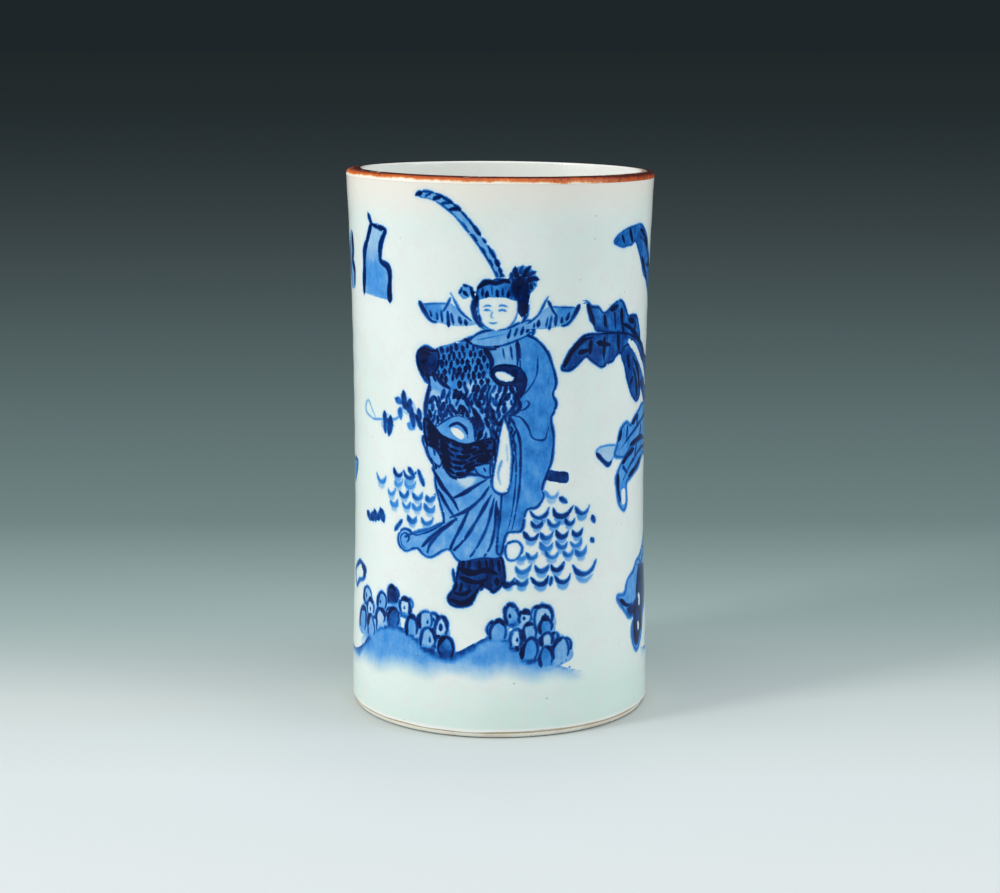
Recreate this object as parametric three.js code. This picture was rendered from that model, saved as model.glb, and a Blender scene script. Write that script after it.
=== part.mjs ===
// Cylindrical porcelain brush pot: a waisted, wheel-thrown wall, a floor disc luted into its foot,
// a clear glaze inside and out, and an iron-brown dressing on the lip.
// Millimetres, +Z up, origin at the centre of the foot plane.
import * as THREE from 'three';

// Driving dimensions: the outside of the finished pot
const height = 176.4;           // foot plane to the crest of the lip
const mouthDiameter = 99.8;     // widest, just under the lip
const waistNarrowing = 4.5;     // mouth diameter less the narrowest
const footNarrowing = 1.6;      // mouth diameter less the foot's, just above the bare bevel
const waistHeight = 74;         // foot plane to the narrowest ring
const flareSharpness = 2.5;     // 1 is a cone; higher keeps the flare close to the mouth

// The lip, which slopes outward from a crest near its inner edge
const lipThickness = 4.6;
const lipSlopeDrop = 0.45;      // crest down to the outer shoulder, if that were sharp
const lipShoulder = 1.3;        // how far the shoulder's rounding reaches along the slope and down the wall
const crestInset = 0.7;         // crest to the inner face, and the depth of the inner rounding

// The turned foot
const bevelHeight = 1.8;        // bare bevel between the resting ring and the glaze line
const bevelWidth = 0.7;         // how far the bevel draws in
const footRingWidth = 3.4;      // flat ring that the pot rests on
const baseRecess = 0.6;         // the floor disc's underside above the foot plane

// The clay
const footThickness = 6.4;      // finished wall just above the floor
const discThickness = 7.0;      // floor disc
const cornerRadius = 7.5;       // finished inside corner, which the luting coil fills
const discChamfer = 0.8;        // top edge of the floor disc

// The coats
const glazeThickness = 0.4;     // clear glaze
const bandOutside = 5.2;        // brown dressing from the crest down the outside, along the surface
const bandInside = 0.2;         // brown dressing past the crest towards the inside, along the surface

// Fits between fired layers, which touch on the real pot
const coatFit = 0.03;           // coat to clay
const seamFit = 0.04;           // one coat's edge to the next
const seatFit = 0.05;           // floor disc and luting coil to what they sit in

// Facets
const segments = 64;            // round the pot
const outsideSteps = 6;         // foot to waist, and waist to lip
const shoulderSteps = 3;        // over the outer shoulder of the lip
const crestSteps = 3;           // over its inner rounding
const insideSteps = 5;          // down the inner wall
const cornerSteps = 4;          // round the inside corner

// Sizes that follow
const mouthRadius = mouthDiameter / 2;
const waistRadius = (mouthDiameter - waistNarrowing) / 2;
const footRadius = (mouthDiameter - footNarrowing) / 2;
const lipBase = height - lipSlopeDrop - lipShoulder;
const glazeLine = bevelHeight;
const coatDepth = glazeThickness + coatFit;
const clayFootRadius = footRadius - coatDepth;
const restingRadius = clayFootRadius - bevelWidth;
const seatRadius = restingRadius - footRingWidth;
const discTop = baseRecess + discThickness;
const floorTop = discTop + coatDepth;

const at = (r, z) => new THREE.Vector2(r, z);
const quarter = Math.PI / 2;

// Finished outside radius at a height: an S-curve from foot to waist, then a flare to the mouth.
function outsideRadius(z) {
  if (z >= lipBase) return mouthRadius;
  if (z >= waistHeight) {
    const rise = (z - waistHeight) / (lipBase - waistHeight);
    return waistRadius + (mouthRadius - waistRadius) * rise ** flareSharpness;
  }
  const fall = (waistHeight - z) / (waistHeight - glazeLine);
  return waistRadius + (footRadius - waistRadius) * (1 - Math.cos(Math.PI * fall)) / 2;
}

// Finished inside radius at a height: the wall thickens evenly from the lip to the floor.
function insideRadius(z) {
  const rise = (z - floorTop) / (lipBase - floorTop);
  return outsideRadius(z) - THREE.MathUtils.lerp(footThickness, lipThickness, rise);
}

// The finished surface as one line, from the glaze line up the outside, over the lip, down the inside
// and across the floor to the axis.
function outsideLine() {
  const line = [];
  for (let i = 0; i < outsideSteps; i++) {
    const z = THREE.MathUtils.lerp(glazeLine, waistHeight, i / outsideSteps);
    line.push(at(outsideRadius(z), z));
  }
  for (let i = 0; i < outsideSteps; i++) {
    // steps close up towards the mouth, where the flare bends most
    const z = THREE.MathUtils.lerp(waistHeight, lipBase, Math.sin((i / outsideSteps) * quarter));
    line.push(at(outsideRadius(z), z));
  }
  return line;
}

function lipSlope() {
  const crest = at(insideRadius(height - crestInset) + crestInset, height);
  const shoulder = at(mouthRadius, height - lipSlopeDrop);
  const upSlope = crest.sub(shoulder).setLength(lipShoulder);
  const rounding = new THREE.QuadraticBezierCurve(
    at(mouthRadius, lipBase),
    shoulder,
    shoulder.clone().add(upSlope),
  );
  return rounding.getPoints(shoulderSteps);
}

function lipRounding() {
  const start = height - crestInset;
  const inner = insideRadius(start);
  const line = [];
  for (let i = 0; i <= crestSteps; i++) {
    const turn = (i / crestSteps) * quarter;
    line.push(at(inner + crestInset * (1 - Math.sin(turn)), start + crestInset * Math.cos(turn)));
  }
  return line;
}

function insideLine() {
  const start = height - crestInset;
  const end = floorTop + cornerRadius;
  const line = [];
  for (let i = 1; i <= insideSteps; i++) {
    const z = THREE.MathUtils.lerp(start, end, i / insideSteps);
    line.push(at(insideRadius(z), z));
  }
  return line;
}

function cornerLine() {
  const end = floorTop + cornerRadius;
  const centre = insideRadius(end) - cornerRadius;
  const line = [];
  for (let i = 1; i <= cornerSteps; i++) {
    const turn = (i / cornerSteps) * quarter;
    line.push(at(centre + cornerRadius * Math.cos(turn), end - cornerRadius * Math.sin(turn)));
  }
  return line;
}

// The line moved into the clay by a depth, each point along the bisector of its two neighbours.
function sunk(line, depth) {
  return line.map((p, i) => {
    const before = line[Math.max(i - 1, 0)];
    const after = line[Math.min(i + 1, line.length - 1)];
    const intoNext = after.clone().sub(p);
    const fromLast = p.clone().sub(before);
    const a = (fromLast.lengthSq() > 0 ? fromLast : intoNext).clone().normalize();
    const b = (intoNext.lengthSq() > 0 ? intoNext : fromLast).clone().normalize();
    const normal = at(-(a.y + b.y), a.x + b.x).normalize();
    const stretch = 1 / Math.max(normal.dot(at(-a.y, a.x)), 0.5);
    return p.clone().addScaledVector(normal, depth * stretch);
  });
}

// Distance along a line from its start to each of its points
function distances(line) {
  const along = [0];
  for (let i = 1; i < line.length; i++) along.push(along[i - 1] + line[i].distanceTo(line[i - 1]));
  return along;
}

// The stretch of a line between two distances that were measured on the finished surface
function stretch(line, along, from, to) {
  const pointAt = (s) => {
    const i = Math.max(along.findIndex((d) => d >= s), 1);
    return line[i - 1].clone().lerp(line[i], (s - along[i - 1]) / (along[i] - along[i - 1]));
  };
  const between = line.filter((p, i) => along[i] > from && along[i] < to);
  return [pointAt(from), ...between, pointAt(to)];
}

// One closed solid of revolution from a closed outline of radius and height
function turned(name, outline, material) {
  const loop = THREE.ShapeUtils.area(outline) > 0 ? [...outline] : [...outline].reverse();
  loop.push(loop[0].clone());
  const geometry = new THREE.LatheGeometry(loop, segments);
  geometry.rotateX(Math.PI / 2);
  const mesh = new THREE.Mesh(geometry, material);
  mesh.name = name;
  return mesh;
}

// Materials
const clay = new THREE.MeshStandardMaterial({ color: 0xe9e0cf, roughness: 0.75, metalness: 0 });
const clearGlaze = new THREE.MeshStandardMaterial({ color: 0xdce6e0, roughness: 0.12, metalness: 0 });
const ironGlaze = new THREE.MeshStandardMaterial({ color: 0xa8592c, roughness: 0.3, metalness: 0 });

// Section lines
const outerLip = [...outsideLine(), ...lipSlope()];
const downToCorner = [...outerLip, ...lipRounding(), ...insideLine()];
const finished = [...downToCorner, ...cornerLine(), at(0, floorTop)];
const underCoat = sunk(finished, glazeThickness);
const claySurface = sunk(finished, coatDepth);
const along = distances(finished);
const crestAlong = along[outerLip.length];
const wallEnd = downToCorner.length - 1;   // where the inside corner begins

// The thrown wall, down to the rebate that takes the floor disc
function wall() {
  const throat = claySurface[wallEnd].x;
  return turned('wall', [
    at(restingRadius, 0),
    at(clayFootRadius, bevelHeight),
    ...claySurface.slice(1, wallEnd + 1),
    at(throat, discTop + seatFit),
    at(seatRadius, discTop + seatFit),
    at(seatRadius, 0),
  ], clay);
}

// The floor disc, let into the rebate from below
function floorDisc() {
  const rim = seatRadius - seatFit;
  return turned('floor_disc', [
    at(0, baseRecess),
    at(rim, baseRecess),
    at(rim, discTop - discChamfer),
    at(rim - discChamfer, discTop),
    at(0, discTop),
  ], clay);
}

// The coil of clay pressed into the corner over the joint
function lutingCoil() {
  const face = claySurface.slice(wallEnd + 1, wallEnd + cornerSteps);
  const throat = claySurface[wallEnd].x - seatFit;
  const seat = discTop + seatFit;
  return turned('luting_coil', [
    at(throat, face[0].y),
    ...face,
    at(face[face.length - 1].x, seat),
    at(throat, seat),
  ], clay);
}

// A coat between two distances along the finished surface
function coat(name, from, to, material) {
  const over = stretch(finished, along, from, to);
  const under = stretch(underCoat, along, from, to).reverse();
  return turned(name, [...over, ...under], material);
}

const bandStart = crestAlong - bandOutside;
const bandEnd = crestAlong + bandInside;

const brushPot = new THREE.Group();
brushPot.add(
  wall(),
  floorDisc(),
  lutingCoil(),
  coat('outer_glaze', 0, bandStart - seamFit / 2, clearGlaze),
  coat('rim_dressing', bandStart + seamFit / 2, bandEnd - seamFit / 2, ironGlaze),
  coat('inner_glaze', bandEnd + seamFit / 2, along[along.length - 1], clearGlaze),
);

export default brushPot;
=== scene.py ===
"""Brush pot in blue-and-white porcelain: the looks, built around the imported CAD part."""

import math
import random

import bmesh
import bpy
import numpy as np
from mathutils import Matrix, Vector


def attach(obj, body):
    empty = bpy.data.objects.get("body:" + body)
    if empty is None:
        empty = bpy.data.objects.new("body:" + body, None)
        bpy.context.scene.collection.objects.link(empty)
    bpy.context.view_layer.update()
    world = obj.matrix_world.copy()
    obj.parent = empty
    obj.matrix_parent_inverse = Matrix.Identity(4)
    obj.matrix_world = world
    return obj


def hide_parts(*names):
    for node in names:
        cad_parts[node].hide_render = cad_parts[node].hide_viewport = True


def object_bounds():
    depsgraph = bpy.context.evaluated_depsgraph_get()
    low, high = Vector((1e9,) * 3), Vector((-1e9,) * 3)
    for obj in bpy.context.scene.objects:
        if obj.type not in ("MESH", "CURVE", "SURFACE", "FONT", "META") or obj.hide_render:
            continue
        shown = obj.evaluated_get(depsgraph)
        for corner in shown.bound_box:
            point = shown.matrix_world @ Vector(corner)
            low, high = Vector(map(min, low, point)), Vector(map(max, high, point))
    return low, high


bl_info = {
    "name": "Blue-and-white brush pot",
    "version": (1, 0, 0),
    "blender": (4, 5, 0),
    "location": "3D View > Sidebar > Brush pot",
    "description": "A painted porcelain brush pot on a pale studio floor",
    "category": "Object",
}

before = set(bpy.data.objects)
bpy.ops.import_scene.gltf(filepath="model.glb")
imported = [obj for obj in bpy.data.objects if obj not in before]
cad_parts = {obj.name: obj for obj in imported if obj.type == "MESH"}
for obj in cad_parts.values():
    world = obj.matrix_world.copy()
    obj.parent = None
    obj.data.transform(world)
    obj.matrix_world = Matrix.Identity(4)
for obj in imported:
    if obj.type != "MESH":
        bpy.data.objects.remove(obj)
CAD_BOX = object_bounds()

MM = 0.001

# The brush, in millimetres
MARKS = ("mark_a", "mark_b", "mark_c")      # one attribute for each stroke that a cell can carry
SEED = 7            # of the painter's hand
UNROLL = 48.0       # radius at which the wall is unrolled for painting
ROUND = 2 * math.pi * UNROLL
FAR = 9.0           # further from any brush mark than a material looks
REACH = 0.95        # past a stroke's edge, where a cell of the wall still carries it
BLEED = 2.4         # past a stroke's edge, where its halo has died out
PALE_BLEED = 0.8    # how much nearer the halo of the palest stroke dies out
WASH_REACH = 3.0    # past a wash's edge, where its distance is still kept
WASH_EDGE = 0.9     # over which one wash gives way to another
TAPER = 1.2         # half-width that a stroke loses for each millimetre past its end
PART_LENGTH = 14.0  # longest part of a stroke that is measured by itself
PART_TURN = 1.7     # radians that such a part may turn
OVERLAP = 1.2       # of one part with the next
SAME_EDGE = 0.06    # parts of one stroke that agree this closely are one mark


def hue(code):
    """Scene-linear colour from a colour as it is written on screen."""
    parts = [int(code[i:i + 2], 16) / 255 for i in (0, 2, 4)]
    return tuple(c / 12.92 if c <= 0.04045 else ((c + 0.055) / 1.055) ** 2.4 for c in parts)


def length(name, default_mm, note):
    return bpy.props.FloatProperty(
        name=name, description=note, default=default_mm * MM, unit="LENGTH", precision=5)


def colour(name, code, note):
    return bpy.props.FloatVectorProperty(
        name=name, description=note, default=hue(code), size=3, min=0, max=1, subtype="COLOR")


class PotForm(bpy.types.PropertyGroup):
    """Sizes of the finished pot, the same as the CAD part's"""

    height: length("Height", CAD_BOX[1][2] / MM, "Foot plane to the crest of the lip")
    mouth_radius: length("Mouth radius", CAD_BOX[1][0] / MM, "Widest ring, just under the lip")
    waist_radius: length("Waist radius", 47.65, "Narrowest ring")
    foot_radius: length("Foot radius", 49.1, "Widest ring above the bare bevel")
    waist_height: length("Waist height", 74, "Foot plane to the narrowest ring")
    lip_thickness: length("Lip thickness", 4.6, "Wall just under the lip")
    foot_thickness: length("Foot thickness", 6.4, "Wall just above the floor")
    glaze_thickness: length("Glaze thickness", 0.4, "Depth of each coat")
    lip_lean: length("Lip lean", 1.0, "How much lower the lip is at its right side")
    mouth_offset: length("Mouth offset", 0.5, "How far the mouth sits off the middle of the rim")
    out_of_round: length("Out of round", 0.3, "How far the mouth draws in from a true circle")


class PotFinish(bpy.types.PropertyGroup):
    """Colours of the glazes, the painting, the clay and the stage"""

    glaze: colour("Glaze", "e2e9e4", "Clear glaze over white clay")
    pooled_glaze: colour("Pooled glaze", "d0e3da", "Glaze where it lies thick")
    thin_glaze: colour("Thin glaze", "ece4d8", "Glaze where it ran thin under the lip")
    cobalt: colour("Cobalt", "0c4ba2", "The painting's middle tone")
    orange: colour("Iron orange", "cf641e", "Dressing on the lip where it lies thin")
    dark_brown: colour("Dark iron brown", "4a1c10", "Dressing where it lies thick")
    clay: colour("Bare clay", "f0e4d4", "Fired clay of the foot")
    toasted_clay: colour("Toasted clay", "b98a62", "Clay flushed by iron in the kiln")
    floor: colour("Floor", "d8dddc", "Studio floor near the pot")


def distances(line):
    """How far along a line each of its points is."""
    return np.concatenate([[0], np.cumsum(np.hypot(*np.diff(line, axis=0).T))])


def headings(line):
    """Which way a line runs at each of its points, and which way lies across it."""
    along = np.gradient(line, axis=0)
    along /= np.hypot(*along.T)[:, None]
    return along, np.stack([-along[:, 1], along[:, 0]], 1)


# The section of the pot, in millimetres of radius and height

BEVEL_HEIGHT = 1.8
BEVEL_WIDTH = 0.7
FOOT_RING = 3.4
BASE_RECESS = 0.6
DISC_THICKNESS = 7.0
DISC_CHAMFER = 0.8
CORNER_RADIUS = 7.5
LIP_DROP = 0.45
LIP_SHOULDER = 1.3
CREST_INSET = 0.7
FLARE = 2.5
COAT_FIT = 0.03
SEAM_FIT = 0.04
SEAT_FIT = 0.05
BAND_OUTSIDE = 5.2
BAND_INSIDE = 0.2
CELL = 0.84         # between stations down the painted wall
SHOULDER_STATIONS = 7
SLOPE_STATIONS = 5
CREST_STATIONS = 8
INSIDE_STATIONS = 90
CORNER_STATIONS = 13
FLOOR_STATIONS = 24
TURNS_FINE = 360    # facets round the painted wall and the lip
TURNS = 240         # and round the other pieces
MERGE = 0.002       # points closer than this are one
SHARP = 40          # degrees between faces past which an edge stays crisp
FOOT_ROUNDING = 0.35    # how far the resting ring's edges are eased, across
FOOT_EASE = 0.3         # and up
SLAB_RINGS = (14, 30)   # radii that let the slab's flat underside follow the foot
SLAB_EDGE = 0.4         # its worn lower edge
COIL_STATIONS = 9       # of the corner's, that the luting coil reaches over
SWELLS = 0.10           # how far each unevenness of the hand draws the wall in
THROWING_RINGS = 0.07
TURNING_MARKS = 0.14
LEFT_PULL = 0.4
RIM_WAVES = 0.10        # how far the lip dips between its three high places


class Section:
    """The finished surface of the pot as one line, from the glaze line over the lip to the axis."""

    def __init__(self, form):
        self.height = form.height / MM
        self.mouth = form.mouth_radius / MM
        self.waist = form.waist_radius / MM
        self.foot = form.foot_radius / MM
        self.waist_height = form.waist_height / MM
        self.lip = form.lip_thickness / MM
        self.thick = form.foot_thickness / MM
        self.coat = form.glaze_thickness / MM
        self.lip_base = self.height - LIP_DROP - LIP_SHOULDER
        self.depth = self.coat + COAT_FIT
        self.clay_foot = self.foot - self.depth
        self.resting = self.clay_foot - BEVEL_WIDTH
        self.seat = self.resting - FOOT_RING
        self.disc_top = BASE_RECESS + DISC_THICKNESS
        self.floor_top = self.disc_top + self.depth
        outer = np.vstack([self.outside_line(), self.shoulder()])
        down = np.vstack([outer, self.crest(), self.inside_line()])
        self.wall_end = len(down) - 1
        self.finished = np.vstack([down, self.corner(), self.floor_line()])
        self.under = self.sunk(self.coat)
        self.clay = self.sunk(self.depth)
        self.along = distances(self.finished)
        self.crest_along = self.along[len(outer)]

    def outside(self, z):
        z = np.asarray(z, float)
        rise = np.clip((z - self.waist_height) / (self.lip_base - self.waist_height), 0, 1)
        fall = np.clip((self.waist_height - z) / (self.waist_height - BEVEL_HEIGHT), 0, 1)
        return (self.waist + (self.mouth - self.waist) * rise ** FLARE
                + (self.foot - self.waist) * (1 - np.cos(np.pi * fall)) / 2)

    def inside(self, z):
        rise = (z - self.floor_top) / (self.lip_base - self.floor_top)
        return self.outside(z) - (self.thick + (self.lip - self.thick) * rise)

    def outside_line(self):
        count = round((self.lip_base - BEVEL_HEIGHT) / CELL)
        z = np.linspace(BEVEL_HEIGHT, self.lip_base, count, endpoint=False)
        return np.stack([self.outside(z), z], 1)

    def shoulder(self):
        top = self.height - CREST_INSET
        crest = np.array([self.inside(top) + CREST_INSET, self.height])
        start = np.array([self.mouth, self.lip_base])
        bend = np.array([self.mouth, self.height - LIP_DROP])
        end = bend + (crest - bend) / np.hypot(*(crest - bend)) * LIP_SHOULDER
        t = np.linspace(0, 1, SHOULDER_STATIONS)[:, None]
        rounded = start * (1 - t) ** 2 + 2 * bend * t * (1 - t) + end * t ** 2
        slope = end + (crest - end) * np.linspace(0, 1, SLOPE_STATIONS)[1:-1, None]
        return np.vstack([rounded, slope])

    def crest(self):
        start = self.height - CREST_INSET
        inner = self.inside(start)
        turn = np.linspace(0, math.pi / 2, CREST_STATIONS)
        return np.stack([inner + CREST_INSET * (1 - np.sin(turn)), start + CREST_INSET * np.cos(turn)], 1)

    def inside_line(self):
        z = np.linspace(self.height - CREST_INSET, self.floor_top + CORNER_RADIUS, INSIDE_STATIONS)[1:]
        return np.stack([self.inside(z), z], 1)

    def corner(self):
        end = self.floor_top + CORNER_RADIUS
        centre = self.inside(end) - CORNER_RADIUS
        turn = np.linspace(0, math.pi / 2, CORNER_STATIONS)[1:]
        return np.stack([centre + CORNER_RADIUS * np.cos(turn), end - CORNER_RADIUS * np.sin(turn)], 1)

    def floor_line(self):
        edge = self.inside(self.floor_top + CORNER_RADIUS) - CORNER_RADIUS
        r = np.linspace(edge, 0, FLOOR_STATIONS)[1:]
        return np.stack([r, np.full(len(r), self.floor_top)], 1)

    def sunk(self, depth):
        """The line moved into the clay, each point along the bisector of its neighbours."""
        line = self.finished
        into = np.diff(line, axis=0)
        into /= np.hypot(*into.T)[:, None]
        a, b = np.vstack([into[:1], into]), np.vstack([into, into[-1:]])
        normal = np.stack([-(a + b)[:, 1], (a + b)[:, 0]], 1)
        normal /= np.hypot(*normal.T)[:, None]
        cosine = np.maximum((normal * np.stack([-a[:, 1], a[:, 0]], 1)).sum(1), 0.5)
        return line + normal * (depth / cosine)[:, None]

    def stretch(self, line, start, stop):
        """Part of a line, between two distances along the finished surface."""
        keep = (self.along > start) & (self.along < stop)
        ends = [[np.interp(s, self.along, side) for side in line.T] for s in (start, stop)]
        return np.vstack([ends[0], line[keep], ends[1]])

    def coat_outline(self, start, stop, coarse=1):
        """Both sides of a coat; the hidden one keeps every coarse-th station."""
        over, under = self.stretch(self.finished, start, stop), self.stretch(self.under, start, stop)
        thinned = np.vstack([under[:1], under[1:-1][::coarse], under[-1:]])
        return over, thinned[::-1]


def put(name, data):
    """A new object in the scene."""
    made = bpy.data.objects.new(name, data)
    bpy.context.scene.collection.objects.link(made)
    return made


def store(mesh, name, domain, vectors):
    """Keeps a vector for each point or corner of a mesh, for its finish to read."""
    mesh.attributes.new(name, "FLOAT_VECTOR", domain).data.foreach_set("vector", vectors.ravel())


def turned(name, outline, turns, closed=True):
    """A ring of clay or glaze, spun from its section; one that reaches the axis is closed there."""
    shape = bmesh.new()
    places = [shape.verts.new((0, r * MM, z * MM)) for r, z in outline]
    pairs = list(zip(places, places[1:])) + ([(places[-1], places[0])] if closed else [])
    edges = [shape.edges.new(pair) for pair in pairs]
    bmesh.ops.spin(shape, geom=places + edges, cent=(0, 0, 0), axis=(0, 0, 1), dvec=(0, 0, 0),
                   angle=2 * math.pi, steps=turns, use_merge=True, use_duplicate=False)
    bmesh.ops.remove_doubles(shape, verts=shape.verts, dist=MERGE * MM)
    bmesh.ops.recalc_face_normals(shape, faces=shape.faces)
    mesh = bpy.data.meshes.new(name)
    shape.to_mesh(mesh)
    shape.free()
    mesh.shade_smooth()
    mesh.set_sharp_from_angle(angle=math.radians(SHARP))
    return put(name, mesh)


def vertex_places(mesh):
    """Radius, angle from the front, and height of every vertex, in millimetres and radians."""
    co = np.empty(len(mesh.vertices) * 3)
    mesh.vertices.foreach_get("co", co)
    x, y, z = co.reshape(-1, 3).T / MM
    return np.hypot(x, y), np.arctan2(x, -y), z


def hand_thrown(piece, form, foot_line=False):
    """Draws the piece in from a true turned shape, as the potter's hands and the kiln leave it."""
    mesh = piece.data
    r, turn, z = vertex_places(mesh)
    up = z / (form.height / MM)
    loose = form.out_of_round / MM
    pull = loose * up ** 2 * (1 + np.cos(2 * turn - 0.9)) / 2
    pull += SWELLS * (1 + np.sin(3 * turn + z / 31 + 1)) / 2
    pull += THROWING_RINGS * (1 + np.sin(z / 1.9 + turn + 1.5 * np.sin(z / 17))) / 2 * np.clip(z / 12, 0, 1)
    pull += TURNING_MARKS * (1 + np.sin(5 * turn - z / 23)) / 2 * np.clip(1 - z / 30, 0, 1)
    pull += LEFT_PULL * up ** 4 * (1 - np.sin(turn)) / 2
    pull *= np.clip(r / 20, 0, 1)
    if foot_line:
        # the glaze was wiped off the bevel by hand, so its edge wanders up
        ragged = 0.45 + 0.25 * np.sin(turn * 2 + 0.4) + 0.14 * np.sin(7 * turn) + 0.08 * np.sin(19 * turn + 2)
        ragged += 0.7 * np.clip(np.cos(turn + 1.3), 0, 1) ** 8
        z = z + np.clip(1 - (z - BEVEL_HEIGHT) / 4, 0, 1) * np.maximum(ragged, 0) * (z < 6)
    lean = form.lip_lean / MM * up ** 2 * (1 + np.sin(turn)) / 2
    lean += RIM_WAVES * up ** 2 * (1 + np.sin(3 * turn + 2)) / 2
    r, z = r - pull, z - lean
    # the lip is thinner on the right, where the mouth sits off the middle of the rim
    depth = np.clip((form.mouth_radius / MM - r) / 4, 0, 1)
    aside = form.mouth_offset / MM * depth * up ** 6 * np.clip(r / 20, 0, 1)
    co = np.stack([r * np.sin(turn) + aside, -r * np.cos(turn), z], 1) * MM
    mesh.vertices.foreach_set("co", co.ravel())
    mesh.update()


# Painting on the unrolled wall: millimetres along the wall from the front, and above the foot

def flow(points, steps=6, closed=False):
    """A smooth line through the given points."""
    p = np.array(points, float)
    if len(p) < 3 or steps < 2:
        return p
    ends = (p[-1:], p[:2]) if closed else (2 * p[:1] - p[1:2], 2 * p[-1:] - p[-2:-1])
    p = np.vstack([ends[0], p, ends[1]])
    t = np.linspace(0, 1, steps, endpoint=False)[:, None]
    out = []
    for a, b, c, d in zip(p, p[1:], p[2:], p[3:]):
        bend = (2 * a - 5 * b + 4 * c - d) * t ** 2 + (3 * b - a - 3 * c + d) * t ** 3
        out.append(0.5 * (2 * b + (c - a) * t + bend))
    line = np.vstack(out)
    return line if closed else np.vstack([line, p[-2]])


def inside_loop(places, loop):
    x, z = places[:, :1], places[:, 1:]
    x0, z0 = loop.T
    x1, z1 = np.roll(loop, -1, axis=0).T
    rise = np.where(np.abs(z1 - z0) < 1e-9, 1e-9, z1 - z0)
    return (((z0 <= z) != (z1 <= z)) & (x < x0 + (z - z0) * (x1 - x0) / rise)).sum(1) % 2 == 1


def measured(places, line):
    """Signed distance of each place from a line, how far along it that is, and how far past its ends."""
    a, d = line[:-1], np.diff(line, axis=0)
    long = np.maximum(np.hypot(*d.T), 1e-6)
    rel = places[:, None] - a
    t = (rel * d).sum(2) / long ** 2
    gap = np.hypot(*(rel - np.clip(t, 0, 1)[..., None] * d).transpose(2, 0, 1))
    near = gap.argmin(1)
    rows = np.arange(len(places))
    t, gap = t[rows, near], gap[rows, near]
    across = (d[near, 0] * rel[rows, near, 1] - d[near, 1] * rel[rows, near, 0]) / long[near]
    before, after = (near == 0) & (t < 0), (near == len(a) - 1) & (t > 1)
    past = np.where(before, -t, 0) * long[0] + np.where(after, t - 1, 0) * long[-1]
    offset = np.where(before | after, across, np.sign(across) * gap)
    along = np.concatenate([[0], np.cumsum(long)])
    return offset, along[near] + np.clip(t, 0, 1) * long[near], past


def chunks(line):
    """Stretches of a line that don't turn back on themselves, each overlapping its neighbours."""
    d = np.diff(line, axis=0)
    heading = np.arctan2(d[:, 1], d[:, 0])
    turn = np.concatenate([[0], np.abs((np.diff(heading) + np.pi) % (2 * np.pi) - np.pi), [0]])
    along = distances(line)
    turned_by = np.cumsum(turn)
    start = 0
    while start < len(line) - 1:
        stop = start + 1
        while (stop < len(line) - 1 and turned_by[stop] - turned_by[start] < PART_TURN
               and along[stop] - along[start] < PART_LENGTH):
            stop += 1
        lo = max(np.searchsorted(along, along[start] - OVERLAP) - 1, 0)
        hi = min(np.searchsorted(along, along[stop] + OVERLAP) + 1, len(line) - 1)
        yield line[lo:hi + 1], along[lo]
        start = stop


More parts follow.
